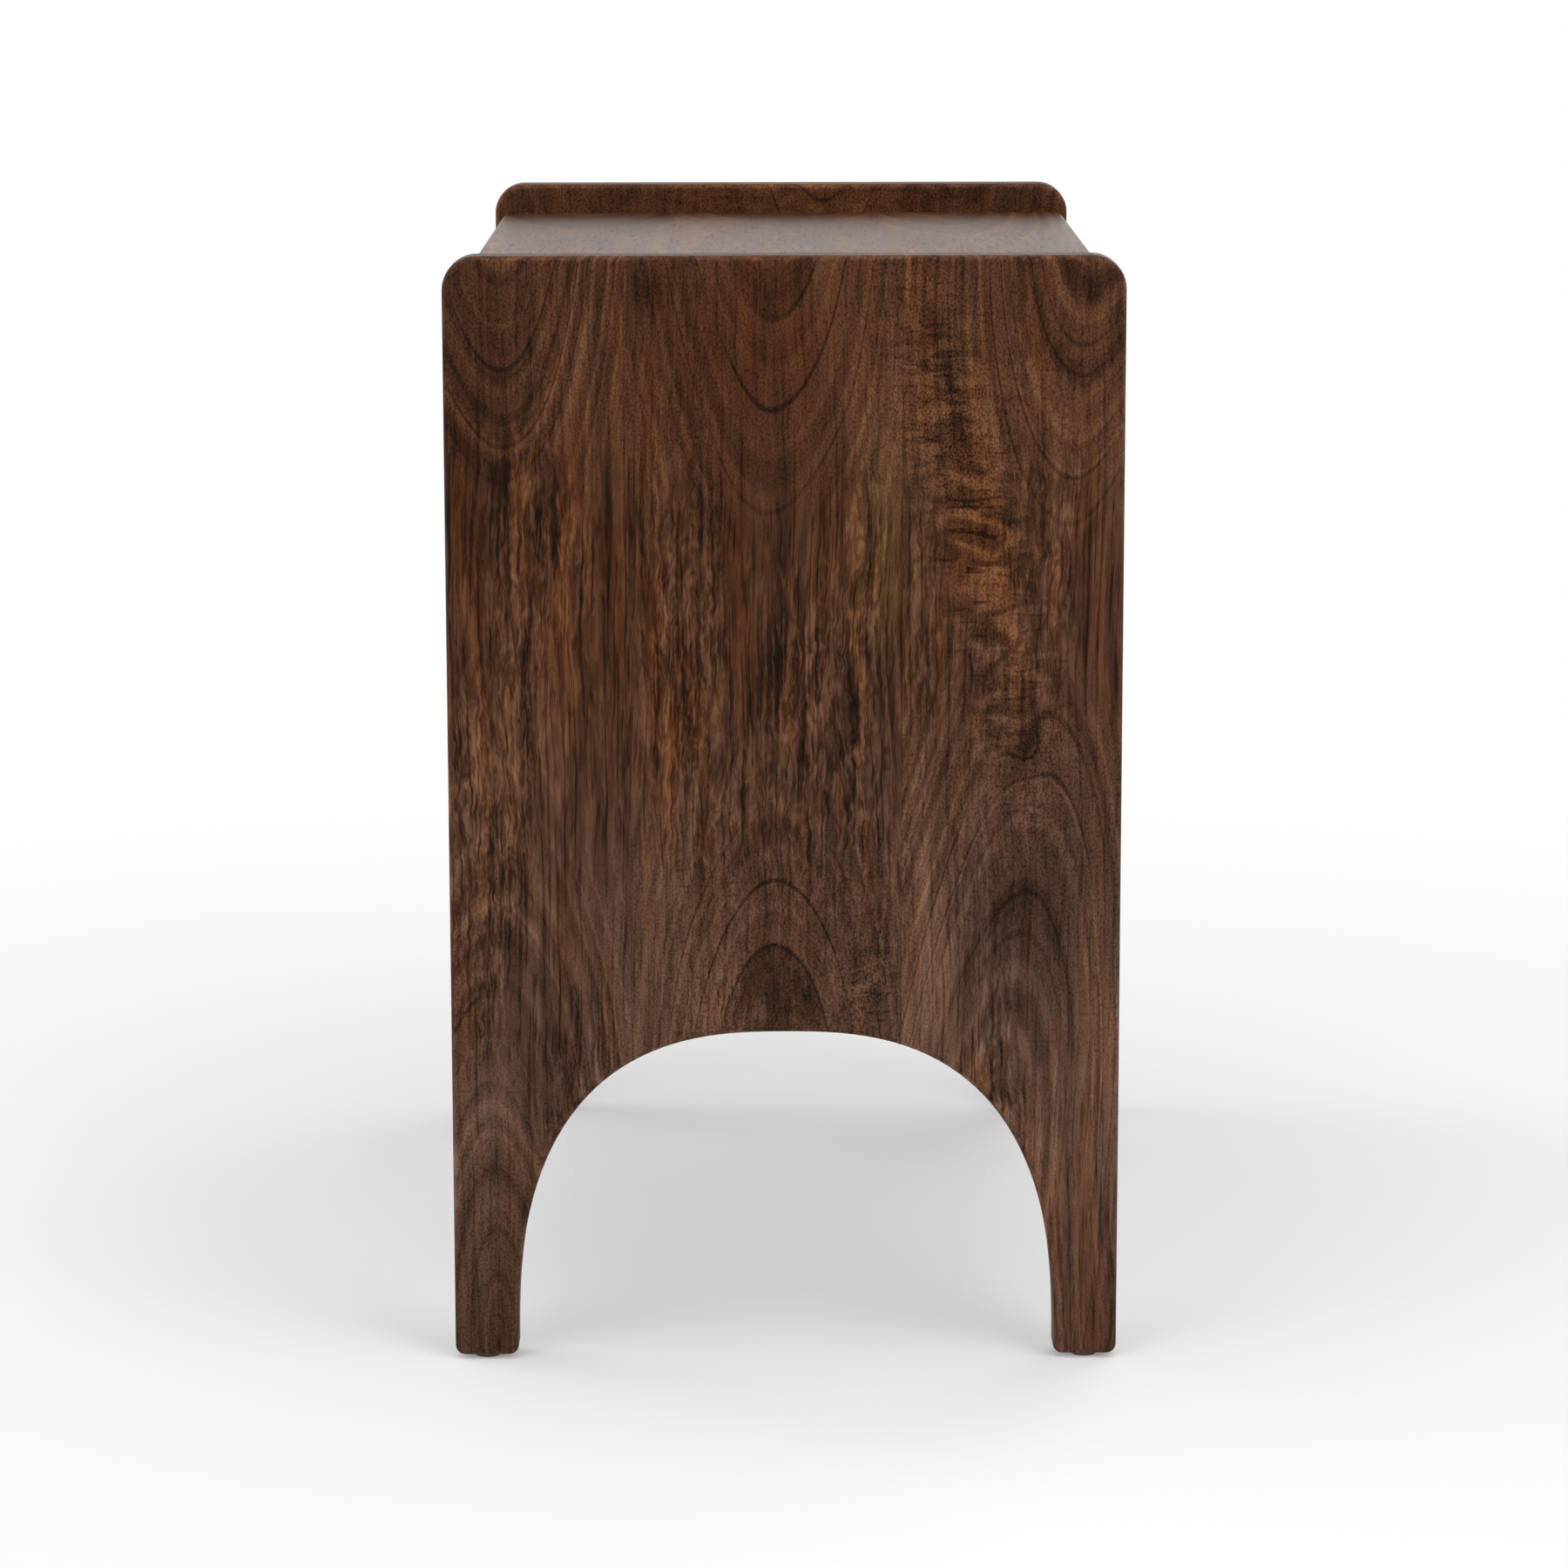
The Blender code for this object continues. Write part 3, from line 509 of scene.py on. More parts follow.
    colour = tone.node("ValToRGB", {"Fac": tone}, stops=stain["stops"])
    cool = plain("cool") * coolPatch["broad"] + plain("fineCool") * coolPatch["fine"]
    colour = mixColour(ease(cool, *coolPatch["edge"]), colour, stain["grey"], "MULTIPLY")
    warm = grain("warm") * (1 - hidden["warm"] * runOut)
    colour = mixColour(warm, colour, stain["warm"], "MULTIPLY")
    for spot, mask in spots("tints"):
        colour = mixColour(mask, colour, (*spot["tint"], 1), "MULTIPLY")

    height = weigh(0.0, marks, reliefWeights)
    closeFinish(start, stain["bump"], reliefHeight, height, {
        "Base Color": colour,
        "Roughness": weigh(stain["gloss"], marks, glossWeights),
        "Specular IOR Level": stain["specular"],
        "Specular Tint": stain["glint"],
    })
    return finish


# Modelling by hand: primitives, edit-mode operators on what is selected by its place, then modifiers

same = 1e-6  # places this close are one
cutCorner = 2e-4  # and this close beside a cut
past = 0.001  # how far a cutter reaches past the piece
fit = 0.0003  # clearance round what is let into a board
sides = {"left": -1, "right": 1}
bothEnds = ("front", "rear")
drawers = ("lower", "upper")


def pick(*pieces):
    clearSelection()
    for piece in pieces:
        piece.select_set(True)
    bpy.context.view_layer.objects.active = pieces[0]


def camel(node):
    first, *rest = node.split("_")
    return first + "".join(word.capitalize() for word in rest)


def nameIt(piece, node):
    piece.name = piece.data.name = camel(node)
    return piece


def copyOf(mesh, name):
    piece = bpy.data.objects.new(name, mesh.copy())
    bpy.context.scene.collection.objects.link(piece)
    pick(piece)
    return nameIt(piece, name)


def settle():
    bpy.ops.object.transform_apply(location=True, rotation=True, scale=True)


def leaveEdit():
    bpy.ops.object.mode_set(mode="OBJECT")


def addBlock(name, corner, opposite):
    clearSelection()
    middle = [(a + b) / 2 for a, b in zip(corner, opposite)]
    size = [abs(b - a) for a, b in zip(corner, opposite)]
    bpy.ops.mesh.primitive_cube_add(size=1, location=middle, scale=size)
    settle()
    return nameIt(bpy.context.object, name)


def addRod(name, start, end, radius, around):
    clearSelection()
    start, end = Vector(start), Vector(end)
    turn = (end - start).to_track_quat("Z", "Y").to_euler()
    bpy.ops.mesh.primitive_cylinder_add(
        vertices=around, radius=radius, depth=(end - start).length, location=(start + end) / 2, rotation=turn
    )
    settle()
    return nameIt(bpy.context.object, name)


def editAll(piece):
    pick(piece)
    bpy.ops.object.mode_set(mode="EDIT")
    bpy.ops.mesh.select_all(action="SELECT")


def startSelecting(piece, kind):
    editAll(piece)
    bpy.ops.mesh.select_mode(type=kind)
    bpy.ops.mesh.select_all(action="DESELECT")
    return bmesh.from_edit_mesh(piece.data)


def selectEdges(piece, test):
    mesh = startSelecting(piece, "EDGE")
    for edge in mesh.edges:
        if test(*(vert.co for vert in edge.verts)):
            edge.select_set(True)
    bmesh.update_edit_mesh(piece.data)


def selectVerts(piece, test):
    mesh = startSelecting(piece, "VERT")
    for vert in mesh.verts:
        if test(vert.co):
            vert.select_set(True)
    mesh.select_flush_mode()
    bmesh.update_edit_mesh(piece.data)


def bevelEdges(piece, test, offset, segments, profile=0.5):
    selectEdges(piece, test)
    bpy.ops.mesh.bevel(
        offset=offset, segments=segments, profile=profile, affect="EDGES", clamp_overlap=True, loop_slide=True
    )
    leaveEdit()


def applyModifier(piece, kind, **settings):
    pick(piece)
    modifier = piece.modifiers.new(kind.lower(), kind)
    for name, value in settings.items():
        setattr(modifier, name, value)
    bpy.ops.object.modifier_apply(modifier=modifier.name)


def cutAway(piece, *cutters):
    for cutter in cutters:
        applyModifier(piece, "BOOLEAN", operation="DIFFERENCE", solver="EXACT", object=cutter)
        bpy.data.objects.remove(cutter)


def joinOn(piece, *others):
    for other in others:
        applyModifier(piece, "BOOLEAN", operation="UNION", solver="EXACT", object=other)
        bpy.data.objects.remove(other)


def smoothOff(piece, angle=35):
    pick(piece)
    bpy.ops.object.shade_smooth_by_angle(angle=math.radians(angle))
    applyModifier(piece, "WEIGHTED_NORMAL", mode="FACE_AREA", weight=50, keep_sharp=True)


def everyEdge(a, b):
    return True


def inPlane(axis, place):
    return lambda a, b: abs(a[axis] - place) < same and abs(b[axis] - place) < same


def along(axis, *others, near=1e-5):
    # edges that run along this axis through one of the other places: {axis: place}, or {} for any
    def test(a, b):
        runs = all(abs(a[k] - b[k]) < same for k in range(3) if k != axis)
        return runs and any(all(abs(a[k] - v) < near for k, v in place.items()) for place in others)
    return test


def squaredArch(axis, low, high, power, segments, straight, upright=True):
    # block whose two upper (or lower) long edges are rounded until they meet: an arch of this power,
    # with no points in the first stretch from its foot, which is as good as straight
    rounded = 0.9995  # share of the half width, so that the two roundings don't cross
    drawnOut = 0.004  # the foot is drawn out past the piece
    cutter = addBlock("arch", low, high)
    across = 1 - axis
    half = (high[across] - low[across]) / 2
    rise = high[2] - low[2]
    foot, crown = (low[2], high[2]) if upright else (high[2], low[2])
    editAll(cutter)
    bpy.ops.transform.resize(value=(1, 1, half / rise), center_override=(0, 0, foot))
    leaveEdit()
    crownAt = foot + (crown - foot) * half / rise
    profile = math.exp(-2 * math.log(2) / power)
    places = [{across: low[across], 2: crownAt}, {across: high[across], 2: crownAt}]
    bevelEdges(cutter, along(axis, *places), half * rounded, segments, profile)
    editAll(cutter)
    bpy.ops.transform.resize(value=(1, 1, rise / half), center_override=(0, 0, foot))
    selectEdges(cutter, lambda a, b: abs(a.z - b.z) < same and same < abs(a.z - foot) < straight)
    bpy.ops.mesh.dissolve_edges(use_verts=True)
    selectVerts(cutter, lambda place: abs(place.z - foot) < same)
    bpy.ops.transform.translate(value=(0, 0, math.copysign(drawnOut, foot - crown)))
    leaveEdit()
    return cutter


def drawTip(rod, neck, end, share):
    # the rod's end at this height is drawn out to a tip
    selectVerts(rod, lambda place: abs(place.z - neck) < same)
    bpy.ops.mesh.extrude_region_move(TRANSFORM_OT_translate={"value": (0, 0, end[2] - neck)})
    bpy.ops.transform.resize(value=(share, share, 1), center_override=end)
    leaveEdit()


def holeFor(node, axis, radius, around=16, before=fit, after=fit):
    # rod where a fastener goes, longer than it is
    low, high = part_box(node)
    start, stop = (low + high) / 2, (low + high) / 2
    start[axis], stop[axis] = low[axis] - before, high[axis] + after
    return addRod("hole", start, stop, radius, around)


def dowelHole(end, side):
    node = f"top_dowel_{end}_{side}"
    low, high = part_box(node)
    return holeFor(node, 0, (high.z - low.z) / 2 + fit, 32)


def slabSide(low, high, sign):
    # x of the face towards the nearest slab, then of the one towards the middle
    return (high.x, low.x) if sign > 0 else (low.x, high.x)


def handOver(piece, finish, body, slot, *nodes):
    piece.data.materials.clear()
    piece.data.materials.append(finish)
    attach(piece, body)
    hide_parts(*nodes)


# Slab sides

slab = {
    "topCorner": 0.019, "topSegments": 10, "leg": 0.0365, "archCrown": 0.193, "archPower": 2.65,
    "archSegments": 40, "archStraight": 0.012, "soleCorner": 0.0055, "soleSegments": 5, "rim": 0.004,
    "rimSegments": 5, "housingStop": 0.012, "nailRadius": 0.0014, "nailStart": 0.0005,
    "screwRadius": 0.0018,
}

rightSlabWood = {
    "axes": "YZX", "centre": (0.305, 0, 0), "thickness": 0.024,
    "staves": [
        stave(-0.0875, -0.1615, 0.0, 0.075, 0.335, 0.23, 0.47, 0.26, bands=0.6,
              lines=(0.0589, 0.0476, 0.0243, 0.064)),
        stave(0.066, -0.006, 3.7, 0.0795, 0.36, 0.28, 0.45, 0.22, tone=-0.01, bands=0.3,
              lines=(0.0571, 0.0462, 0.07, 0.033)),
        stave(1.0, 0.1029, 8.9, 0.078, 0.43, 0.2, 0.455, 0.27, slant=0.116, tone=0.05, bands=0.65,
              lines=(0.068, 0.062, 0.0475, 0.043)),
    ],
    "knots": [
        oval(0.137, 0.356, 0.01, 0.012, push=0.005), oval(-0.005, 0.206, 0.012, 0.01, push=0.004),
    ],
    "spots": [
        oval(0.137, 0.356, 0.008, 0.01, tone=-0.24), oval(0.131, 0.374, 0.017, 0.04, tone=-0.1),
        oval(-0.005, 0.222, 0.016, 0.03, tone=-0.14), oval(-0.001, 0.204, 0.004, 0.004, tone=-0.2),
        oval(0.014, 0.214, 0.003, 0.005, tone=-0.2), oval(-0.101, 0.46, 0.004, 0.1, tone=-0.14),
        oval(-0.098, 0.573, 0.004, 0.024, 0.12, tone=-0.22), oval(-0.075, 0.615, 0.01, 0.01, tone=-0.2),
        oval(-0.01, 0.6, 0.03, 0.045, tone=-0.07), oval(0.079, 0.285, 0.005, 0.08, tone=0.15),
        oval(0.128, 0.27, 0.034, 0.06, tone=-0.09), oval(0.092, 0.565, 0.004, 0.045, -0.28, tone=-0.24),
        oval(0.103, 0.568, 0.008, 0.045, -0.28, tone=0.13), oval(0.078, 0.56, 0.008, 0.05, tone=0.1),
        oval(0.107, 0.475, 0.013, 0.05, -0.2, tone=0.09), oval(-0.14, 0.57, 0.036, 0.045, tone=0.06),
        # the first spot here lightens the right leg: partly painted light from the rear, partly the wood's
        # own tone
        oval(0.165, 0.08, 0.032, 0.09, tone=0.07), oval(-0.118, 0.3, 0.02, 0.06, tone=-0.07),
        oval(-0.005, 0.44, 0.018, 0.13, tone=-0.05), oval(0.045, 0.53, 0.026, 0.1, tone=0.05),
        oval(-0.135, 0.43, 0.03, 0.12, tone=0.03),
    ],
    "figure": [
        oval(0.107, 0.48, 0.028, 0.145, -0.21, tone=1.3, lift=0.09),
        oval(0.046, 0.222, 0.014, 0.022, tone=0.8),
    ],
    "lively": [
        oval(-0.066, 0.43, 0.017, 0.17), oval(0.044, 0.44, 0.017, 0.2),
        oval(-0.13, 0.48, 0.02, 0.07), oval(0.08, 0.43, 0.015, 0.12),
    ],
    "fibrous": [
        oval(-0.14, 0.22, 0.045, 0.08), oval(0.11, 0.19, 0.034, 0.07),
        oval(0.17, 0.08, 0.03, 0.13),
    ],
    "tints": [
        oval(0.055, 0.47, 0.018, 0.06, tint=(0.95, 1.07, 0.8)),
        oval(-0.02, 0.585, 0.05, 0.05, tint=(1.06, 0.9, 0.82)),
        oval(-0.06, 0.42, 0.08, 0.11, tint=(1.06, 1.00, 0.86)),
        oval(0.107, 0.48, 0.026, 0.145, -0.21, tint=(1.05, 1.02, 0.92)),
        # lower part of the slab lighter and bluer: painted reflection of the pale floor
        oval(0.0, 0.17, 0.5, 0.17, tint=(1.44, 1.8, 2.39)),
        # darker left leg: partly painted shade, partly the wood's own tone
        oval(-0.165, 0.06, 0.05, 0.11, tint=(0.76, 0.78, 0.76)),
        oval(0.135, 0.27, 0.05, 0.08, tint=(0.62, 0.64, 0.66)),
    ],
}

leftSlabWood = {
    "axes": "YZX", "centre": (-0.305, 0, 0), "thickness": 0.024,
    "staves": [
        stave(-0.052, -0.12, 21.3, 0.08, 0.3, 0.22, 0.5, 0.2),
        stave(0.094, 0.028, 26.9, 0.072, 0.34, 0.25, 0.44, 0.26, tone=0.02),
        stave(1.0, 0.15, 33.1, 0.076, 0.4, 0.2, 0.49, 0.22, slant=-0.05, tone=-0.02),
    ],
    "figure": [oval(0.01, 0.618, 0.19, 0.03, tone=0.45, lift=0.03)],
    "tints": [oval(0.02, 0.62, 0.14, 0.03, tint=(1.12, 1.0, 0.84))],
}


def handOverBoard(piece, node, finishName, wood, stain):
    smoothOff(piece)
    handOver(piece, woodFinish(finishName, wood, stain), "case", "dark_wood", node)


def hiddenJoinery(side, sign):
    # cutters for what is let into the inner face of a slab, from where the neighbours are
    inner = slabSide(*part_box(f"side_panel_{side}"), sign)[1]
    inset = slab["housingStop"] - fit
    bottom, divider, back = (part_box(node) for node in ("bottom_panel", "drawer_divider", "back_panel"))
    housings = (
        (bottom, bottom[0].y + inset, back[0].y - inset),
        (divider, divider[0].y + inset, divider[1].y - inset),
        (back, back[0].y - fit, back[1].y + fit),
    )
    cutters = []
    for (low, high), front, rear in housings:
        corner = (inner - sign * past, front, low.z - fit)
        cutters.append(addBlock("housing", corner, (sign * (high.x + fit), rear, high.z + fit)))
    for end in bothEnds:
        cutters.append(dowelHole(end, side))
        nail = f"foot_glide_{end}_{side}"
        cutters.append(holeFor(nail, 2, slab["nailRadius"], before=-slab["nailStart"]))
        for drawer in drawers:
            driven = f"{drawer}_slide_channel_{side}_screw_{end}"
            cutters.append(holeFor(driven, 0, slab["screwRadius"]))
    return cutters


def modelSlab(side, sign, wood):
    node = f"side_panel_{side}"
    low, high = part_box(node)
    piece = addBlock(node, low, high)
    corners = [{1: low.y, 2: high.z}, {1: high.y, 2: high.z}]
    bevelEdges(piece, along(0, *corners), slab["topCorner"], slab["topSegments"])
    foot = high.y - slab["leg"]
    arch = squaredArch(
        0, (low.x - 2 * past, -foot, low.z), (high.x + 2 * past, foot, slab["archCrown"]),
        slab["archPower"], slab["archSegments"], slab["archStraight"]
    )
    cutAway(piece, arch)
    corners = [{1: place, 2: low.z} for place in (low.y, high.y, foot, -foot)]
    bevelEdges(piece, along(0, *corners, near=cutCorner), slab["soleCorner"], slab["soleSegments"])
    for face in (low.x, high.x):
        bevelEdges(piece, inPlane(0, face), slab["rim"], slab["rimSegments"])
    cutAway(piece, *hiddenJoinery(side, sign))
    handOverBoard(piece, node, camel("darkMangoSlab_" + side), wood, darkStain)


modelSlab("right", 1, rightSlabWood)
modelSlab("left", -1, leftSlabWood)
print("slab sides: right and left")


# Case boards: top, bottom, divider and back

caseBoard = {
    "ease": 0.0025, "easeSegments": 4, "backEase": 0.0006, "backSegments": 2,
    "notch": 0.0083,  # how much shorter a board is beside its tongue
}

topWood = {
    "axes": "YXZ", "centre": (0, 0, 0.616),
    "staves": [
        stave(-0.07, -0.132, 41.2, 0.074, -0.1, 0.2, 0.12, 0.16, tone=0.01),
        stave(0.064, 0.004, 45.7, 0.08, -0.16, 0.24, 0.05, 0.2, tone=-0.02),
        stave(1.0, 0.118, 52.6, 0.072, -0.04, 0.18, 0.16, 0.22, slant=0.06),
    ],
}

bottomWood = {
    "axes": "YXZ", "centre": (0, 0, 0.221),
    "staves": [
        stave(-0.04, -0.115, 61.9, 0.078, -0.12, 0.22, 0.1, 0.18),
        stave(0.088, 0.026, 66.3, 0.074, -0.08, 0.2, 0.14, 0.2, tone=0.02),
        stave(1.0, 0.13, 72.8, 0.076, -0.14, 0.24, 0.08, 0.18, tone=-0.01),
    ],
}

dividerWood = {
    "axes": "ZXY", "centre": (0, -0.1845, 0.4075),
    "staves": [stave(1.0, 0.022, 81.4, 0.07, -0.12, 0.14, 0.1, 0.14)],
}

backWood = {
    "axes": "XZY", "centre": (0, 0.1745, 0),
    "staves": [
        stave(-0.186, -0.216, 91.5, 0.078, 0.42, 0.24, 0.52, 0.1),
        stave(-0.058, -0.14, 95.2, 0.112, 0.24, 0.16, 0.44, 0.22, tone=0.025),
        stave(0.076, 0.012, 99.8, 0.08, 0.33, 0.3, 0.56, 0.2, tone=-0.01),
        stave(0.19, 0.17, 104.6, 0.15, 0.22, 0.1, 0.5, 0.16, slant=-0.06, tone=0.03),
        stave(1.0, 0.246, 110.3, 0.074, 0.3, 0.2, 0.4, 0.26, tone=-0.015),
    ],
}


def easeLongEdges(piece, low, high):
    edges = along(0, *[{1: y, 2: z} for y in (low.y, high.y) for z in (low.z, high.z)])
    bevelEdges(piece, edges, caseBoard["ease"], caseBoard["easeSegments"])


def backGroove():
    low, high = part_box("back_panel")
    return addBlock("groove", [place - fit for place in low], [place + fit for place in high])


def modelTop():
    low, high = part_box("top_panel")
    piece = addBlock("topPanel", low, high)
    easeLongEdges(piece, low, high)
    cutAway(piece, backGroove(), *[dowelHole(end, side) for side in sides for end in bothEnds])
    handOverBoard(piece, "top_panel", "darkMangoTop", topWood, topStainWithPaintedSheen)


def modelCrossBoard(node, tongueRear, wood, *cutters):
    # board with a tongue at each end, which stops short of the edges that show
    low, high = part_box(node)
    piece = addBlock(node, low, high)
    shoulder = high.x - caseBoard["notch"] + fit
    front = (low.y - past, low.y + slab["housingStop"])
    rear = (tongueRear - slab["housingStop"], high.y + past)
    notches = []
    for sign in sides.values():
        for start, stop in (front, rear):
            corner = (sign * shoulder, start, low.z - past)
            notches.append(addBlock("notch", corner, (sign * (high.x + past), stop, high.z + past)))
    cutAway(piece, *notches)
    easeLongEdges(piece, low, high)
    cutAway(piece, *cutters)
    handOverBoard(piece, node, camel("darkMango_" + node), wood, darkStain)


def modelBack():
    low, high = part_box("back_panel")
    piece = addBlock("backPanel", low, high)
    bevelEdges(piece, everyEdge, caseBoard["backEase"], caseBoard["backSegments"])
    handOverBoard(piece, "back_panel", "darkMangoBack", backWood, darkStain)


modelTop()
modelCrossBoard("bottom_panel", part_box("back_panel")[0].y, bottomWood, backGroove())
modelCrossBoard("drawer_divider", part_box("drawer_divider")[1].y, dividerWood)
modelBack()
print("case boards: top, bottom, divider and back")


# Drawer faces

drawerFace = {
    "pullWidth": 0.120, "pullDepth": 0.027, "pullPower": 2.65, "pullSegments": 28,
    "pullStraight": 0.0042, "pullCorner": 0.0030, "cornerSegments": 5, "ease": 0.0025,
    "easeSegments": 4, "screwRadius": 0.0018,
}

faceWood = {
    "axes": "ZXY", "centre": (0, -0.183, 0),
    "staves": [
        stave(0.3, 0.262, 121.7, 0.073, -0.06, 0.19, 0.13, 0.17, tone=0.01),
        stave(0.4075, 0.348, 126.1, 0.078, -0.14, 0.22, 0.06, 0.2, tone=-0.01),
        stave(0.512, 0.462, 133.8, 0.076, -0.1, 0.2, 0.1, 0.22, tone=0.015),
        stave(1.0, 0.552, 138.5, 0.074, -0.02, 0.18, 0.17, 0.18, tone=-0.01),
    ],
}

faceFinish = woodFinish("darkMangoFace", faceWood, darkStain)


def modelFace(drawer):
    node = f"{drawer}_drawer_face"
    low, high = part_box(node)
    piece = addBlock(node, low, high)
    half = drawerFace["pullWidth"] / 2
    scoop = squaredArch(
        1, (-half, low.y - 2 * past, high.z - drawerFace["pullDepth"]), (half, high.y + 2 * past, high.z),
        drawerFace["pullPower"], drawerFace["pullSegments"], drawerFace["pullStraight"], upright=False
    )
    cutAway(piece, scoop)
    corners = [{0: place, 2: high.z} for place in (-half, half)]
    rounded = along(1, *corners, near=cutCorner)
    bevelEdges(piece, rounded, drawerFace["pullCorner"], drawerFace["cornerSegments"])
    for face in (low.y, high.y):
        bevelEdges(piece, inPlane(1, face), drawerFace["ease"], drawerFace["easeSegments"])
    radius = drawerFace["screwRadius"]
    cutAway(piece, *[holeFor(f"{drawer}_face_screw_{side}", 1, radius, after=0) for side in sides])
    smoothOff(piece)
    handOver(piece, faceFinish, drawer + "_drawer", "dark_wood", node)


# Drawer boxes: the dovetailed boards are the solids' own, merged and with their edges eased

drawerBox = {
    "ease": 0.0006, "easeSegments": 2, "easeAngle": 25, "merge": 1e-5, "flatAngle": 1,
    "bottomEase": 0.0004, "bottomSegments": 2,
    "sideFace": 0.2683,  # where the wood of each board is measured from
    "frontFace": -0.1627, "backFace": 0.1373,
}

boxSideWood = {
    "axes": "ZYX",
    "staves": [
        stave(0.4075, 0.262, 151.2, 0.07, -0.06, 0.16, 0.06, 0.14),
        stave(1.0, 0.52, 156.4, 0.076, -0.02, 0.14, 0.08, 0.16),
    ],
}

boxEndWood = {
    "axes": "ZXY",
    "staves": [
        stave(0.4075, 0.33, 161.3, 0.074, -0.1, 0.16, 0.1, 0.16),
        stave(1.0, 0.47, 166.9, 0.07, -0.08, 0.18, 0.12, 0.14),
    ],
}

boxBottomWood = {
    "axes": "YXZ", "centre": (0, 0, 0.25),
    "staves": [stave(1.0, 0.03, 171.8, 0.11, -0.04, 0.3, 0.04, 0.3)],
}

boxFinishes = {}
for side, sign in sides.items():
    wood = {**boxSideWood, "centre": (sign * drawerBox["sideFace"], 0, 0)}
    boxFinishes[side] = woodFinish(camel("oiledMangoSide_" + side), wood, oiledHoney)
for end in ("front", "back"):
    wood = {**boxEndWood, "centre": (0, drawerBox[end + "Face"], 0)}
    boxFinishes[end] = woodFinish(camel("oiledMangoEnd_" + end), wood, oiledHoney)
bottomFinish = woodFinish("paleVeneerBottom", boxBottomWood, paleVeneer)


def modelBoxBoard(node):
    piece = copyOf(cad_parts[node].data, node.replace("_drawer", ""))
    bpy.ops.mesh.customdata_custom_splitnormals_clear()
    editAll(piece)
    bpy.ops.mesh.remove_doubles(threshold=drawerBox["merge"])
    bpy.ops.mesh.dissolve_limited(angle_limit=math.radians(drawerBox["flatAngle"]))
    leaveEdit()
    angle = math.radians(drawerBox["easeAngle"])
    eased = {"width": drawerBox["ease"], "segments": drawerBox["easeSegments"]}
    applyModifier(piece, "BEVEL", **eased, limit_method="ANGLE", angle_limit=angle)
    smoothOff(piece)
    return piece


def modelBox(drawer):
    for board, finish in boxFinishes.items():
        node = f"{drawer}_drawer_box_{board}"
        handOver(modelBoxBoard(node), finish, drawer + "_drawer", "box_wood", node)
    node = f"{drawer}_drawer_box_bottom"
    piece = addBlock(drawer + "BoxBottom", *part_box(node))
    bevelEdges(piece, everyEdge, drawerBox["bottomEase"], drawerBox["bottomSegments"])
    smoothOff(piece)
    handOver(piece, bottomFinish, drawer + "_drawer", "sheet_wood", node)


for drawer in drawers:
    modelFace(drawer)
    modelBox(drawer)
print("drawers: faces and dovetailed boxes")


# Hardware finishes

zincPlate = {
    # scales of its marks along x, y and z, where they are eased, detail and roughness
    "fields": {
        "rolled": ((900, 8, 900), None, 2, 0.6),
        "cloud": ((60, 45, 60), None, 3, 0.6),
        "scuff": ((700, 180, 300), (0.62, 0.74), 2, 0.6),
    },
    "dark": (0.55, 0.56, 0.56, 1), "light": (0.66, 0.68, 0.70, 1), "metal": 1.0, "gloss": 0.28,
    "shade": {"cloud": 0.35, "rolled": 0.65}, "shadeEdge": (-0.14, 0.14),
    "glossWeights": {"rolled": 0.22, "cloud": -0.10, "scuff": 0.12},
    "relief": {"rolled": 0.4, "scuff": -1.0}, "bump": 0.06,
}

brownNylon = {
    "fields": {
        "speck": ((1500, 1500, 1500), None, 2, 0.6),
        "cloud": ((180, 180, 180), None, 2, 0.5),
    },
    "dark": (0.070, 0.042, 0.030, 1), "light": (0.110, 0.066, 0.046, 1), "metal": 0.0, "gloss": 0.46,
    "shade": {"cloud": 0.6, "speck": 0.4}, "shadeEdge": (-0.15, 0.15),
    "glossWeights": {"speck": 0.25},
    "relief": {"speck": 1.0}, "bump": 0.10,
}

hardwareRelief = 0.0002

bareBeech = {
    **paleVeneer,
    "stops": (
        (0.00, (0.30, 0.17, 0.09)), (0.30, (0.46, 0.29, 0.17)),
        (0.60, (0.60, 0.41, 0.26)), (1.00, (0.72, 0.54, 0.37)),
    ),
    "grey": (0.97, 1.0, 1.02, 1), "warm": (1.03, 1.0, 0.96, 1), "contrast": 0.6, "gloss": 0.62,
    "bump": 0.15,
}


def hardwareFinish(name, look):
    finish, start = newFinish(name)
    axes = objectAxes(start)
    marks = {}
    for key, (scales, *rest) in look["fields"].items():
        marks[key] = field(*(axes[axis] * scale for axis, scale in zip("XYZ", scales)), *rest)
    shade = ease(weigh(0.0, marks, look["shade"]), *look["shadeEdge"])
    height = weigh(0.0, marks, look["relief"])
    closeFinish(start, look["bump"], hardwareRelief, height, {
        "Base Color": mixColour(shade, look["dark"], look["light"]),
        "Metallic": look["metal"],
        "Roughness": weigh(look["gloss"], marks, look["glossWeights"]),
    })
    return finish


zinc = hardwareFinish("zincPlate", zincPlate)
nylon = hardwareFinish("brownNylon", brownNylon)


# Ball slides: bent sheet channels and rails, with a ball cage between them

slide = {
    "sheet": 0.0012, "lip": 0.001, "bend": 0.00045, "bendSegments": 3,
    "slots": (0.090, 0.150, 0.210),  # punched slots from the front end
    "slotLength": 0.016, "slotHeight": 0.0048,
    "slotRound": 0.98,  # share of half the slot's height
    "slotSegments": 6, "holeRadius": 0.0018, "holeSides": 24, "cageSheet": 0.0006, "cageBend": 0.00024,
    "cageSegments": 2, "cageHalf": 0.0148, "cageEnd": 0.006, "ballPitch": 0.024, "ballCount": 5,
    "ballRadius": 0.0015, "ballSides": 16, "ballRings": 10,
    "ballRow": 0.00725,  # from the slab to the middle of the balls
    "ballHalf": 0.0145, "roundAngle": 40,
}


def between(sign, face, near, far, y, z):
    # corners of a block that lies from near to far of a face, measured towards the middle of the case
    return (face - sign * near, y[0], z[0]), (face - sign * far, y[1], z[1])


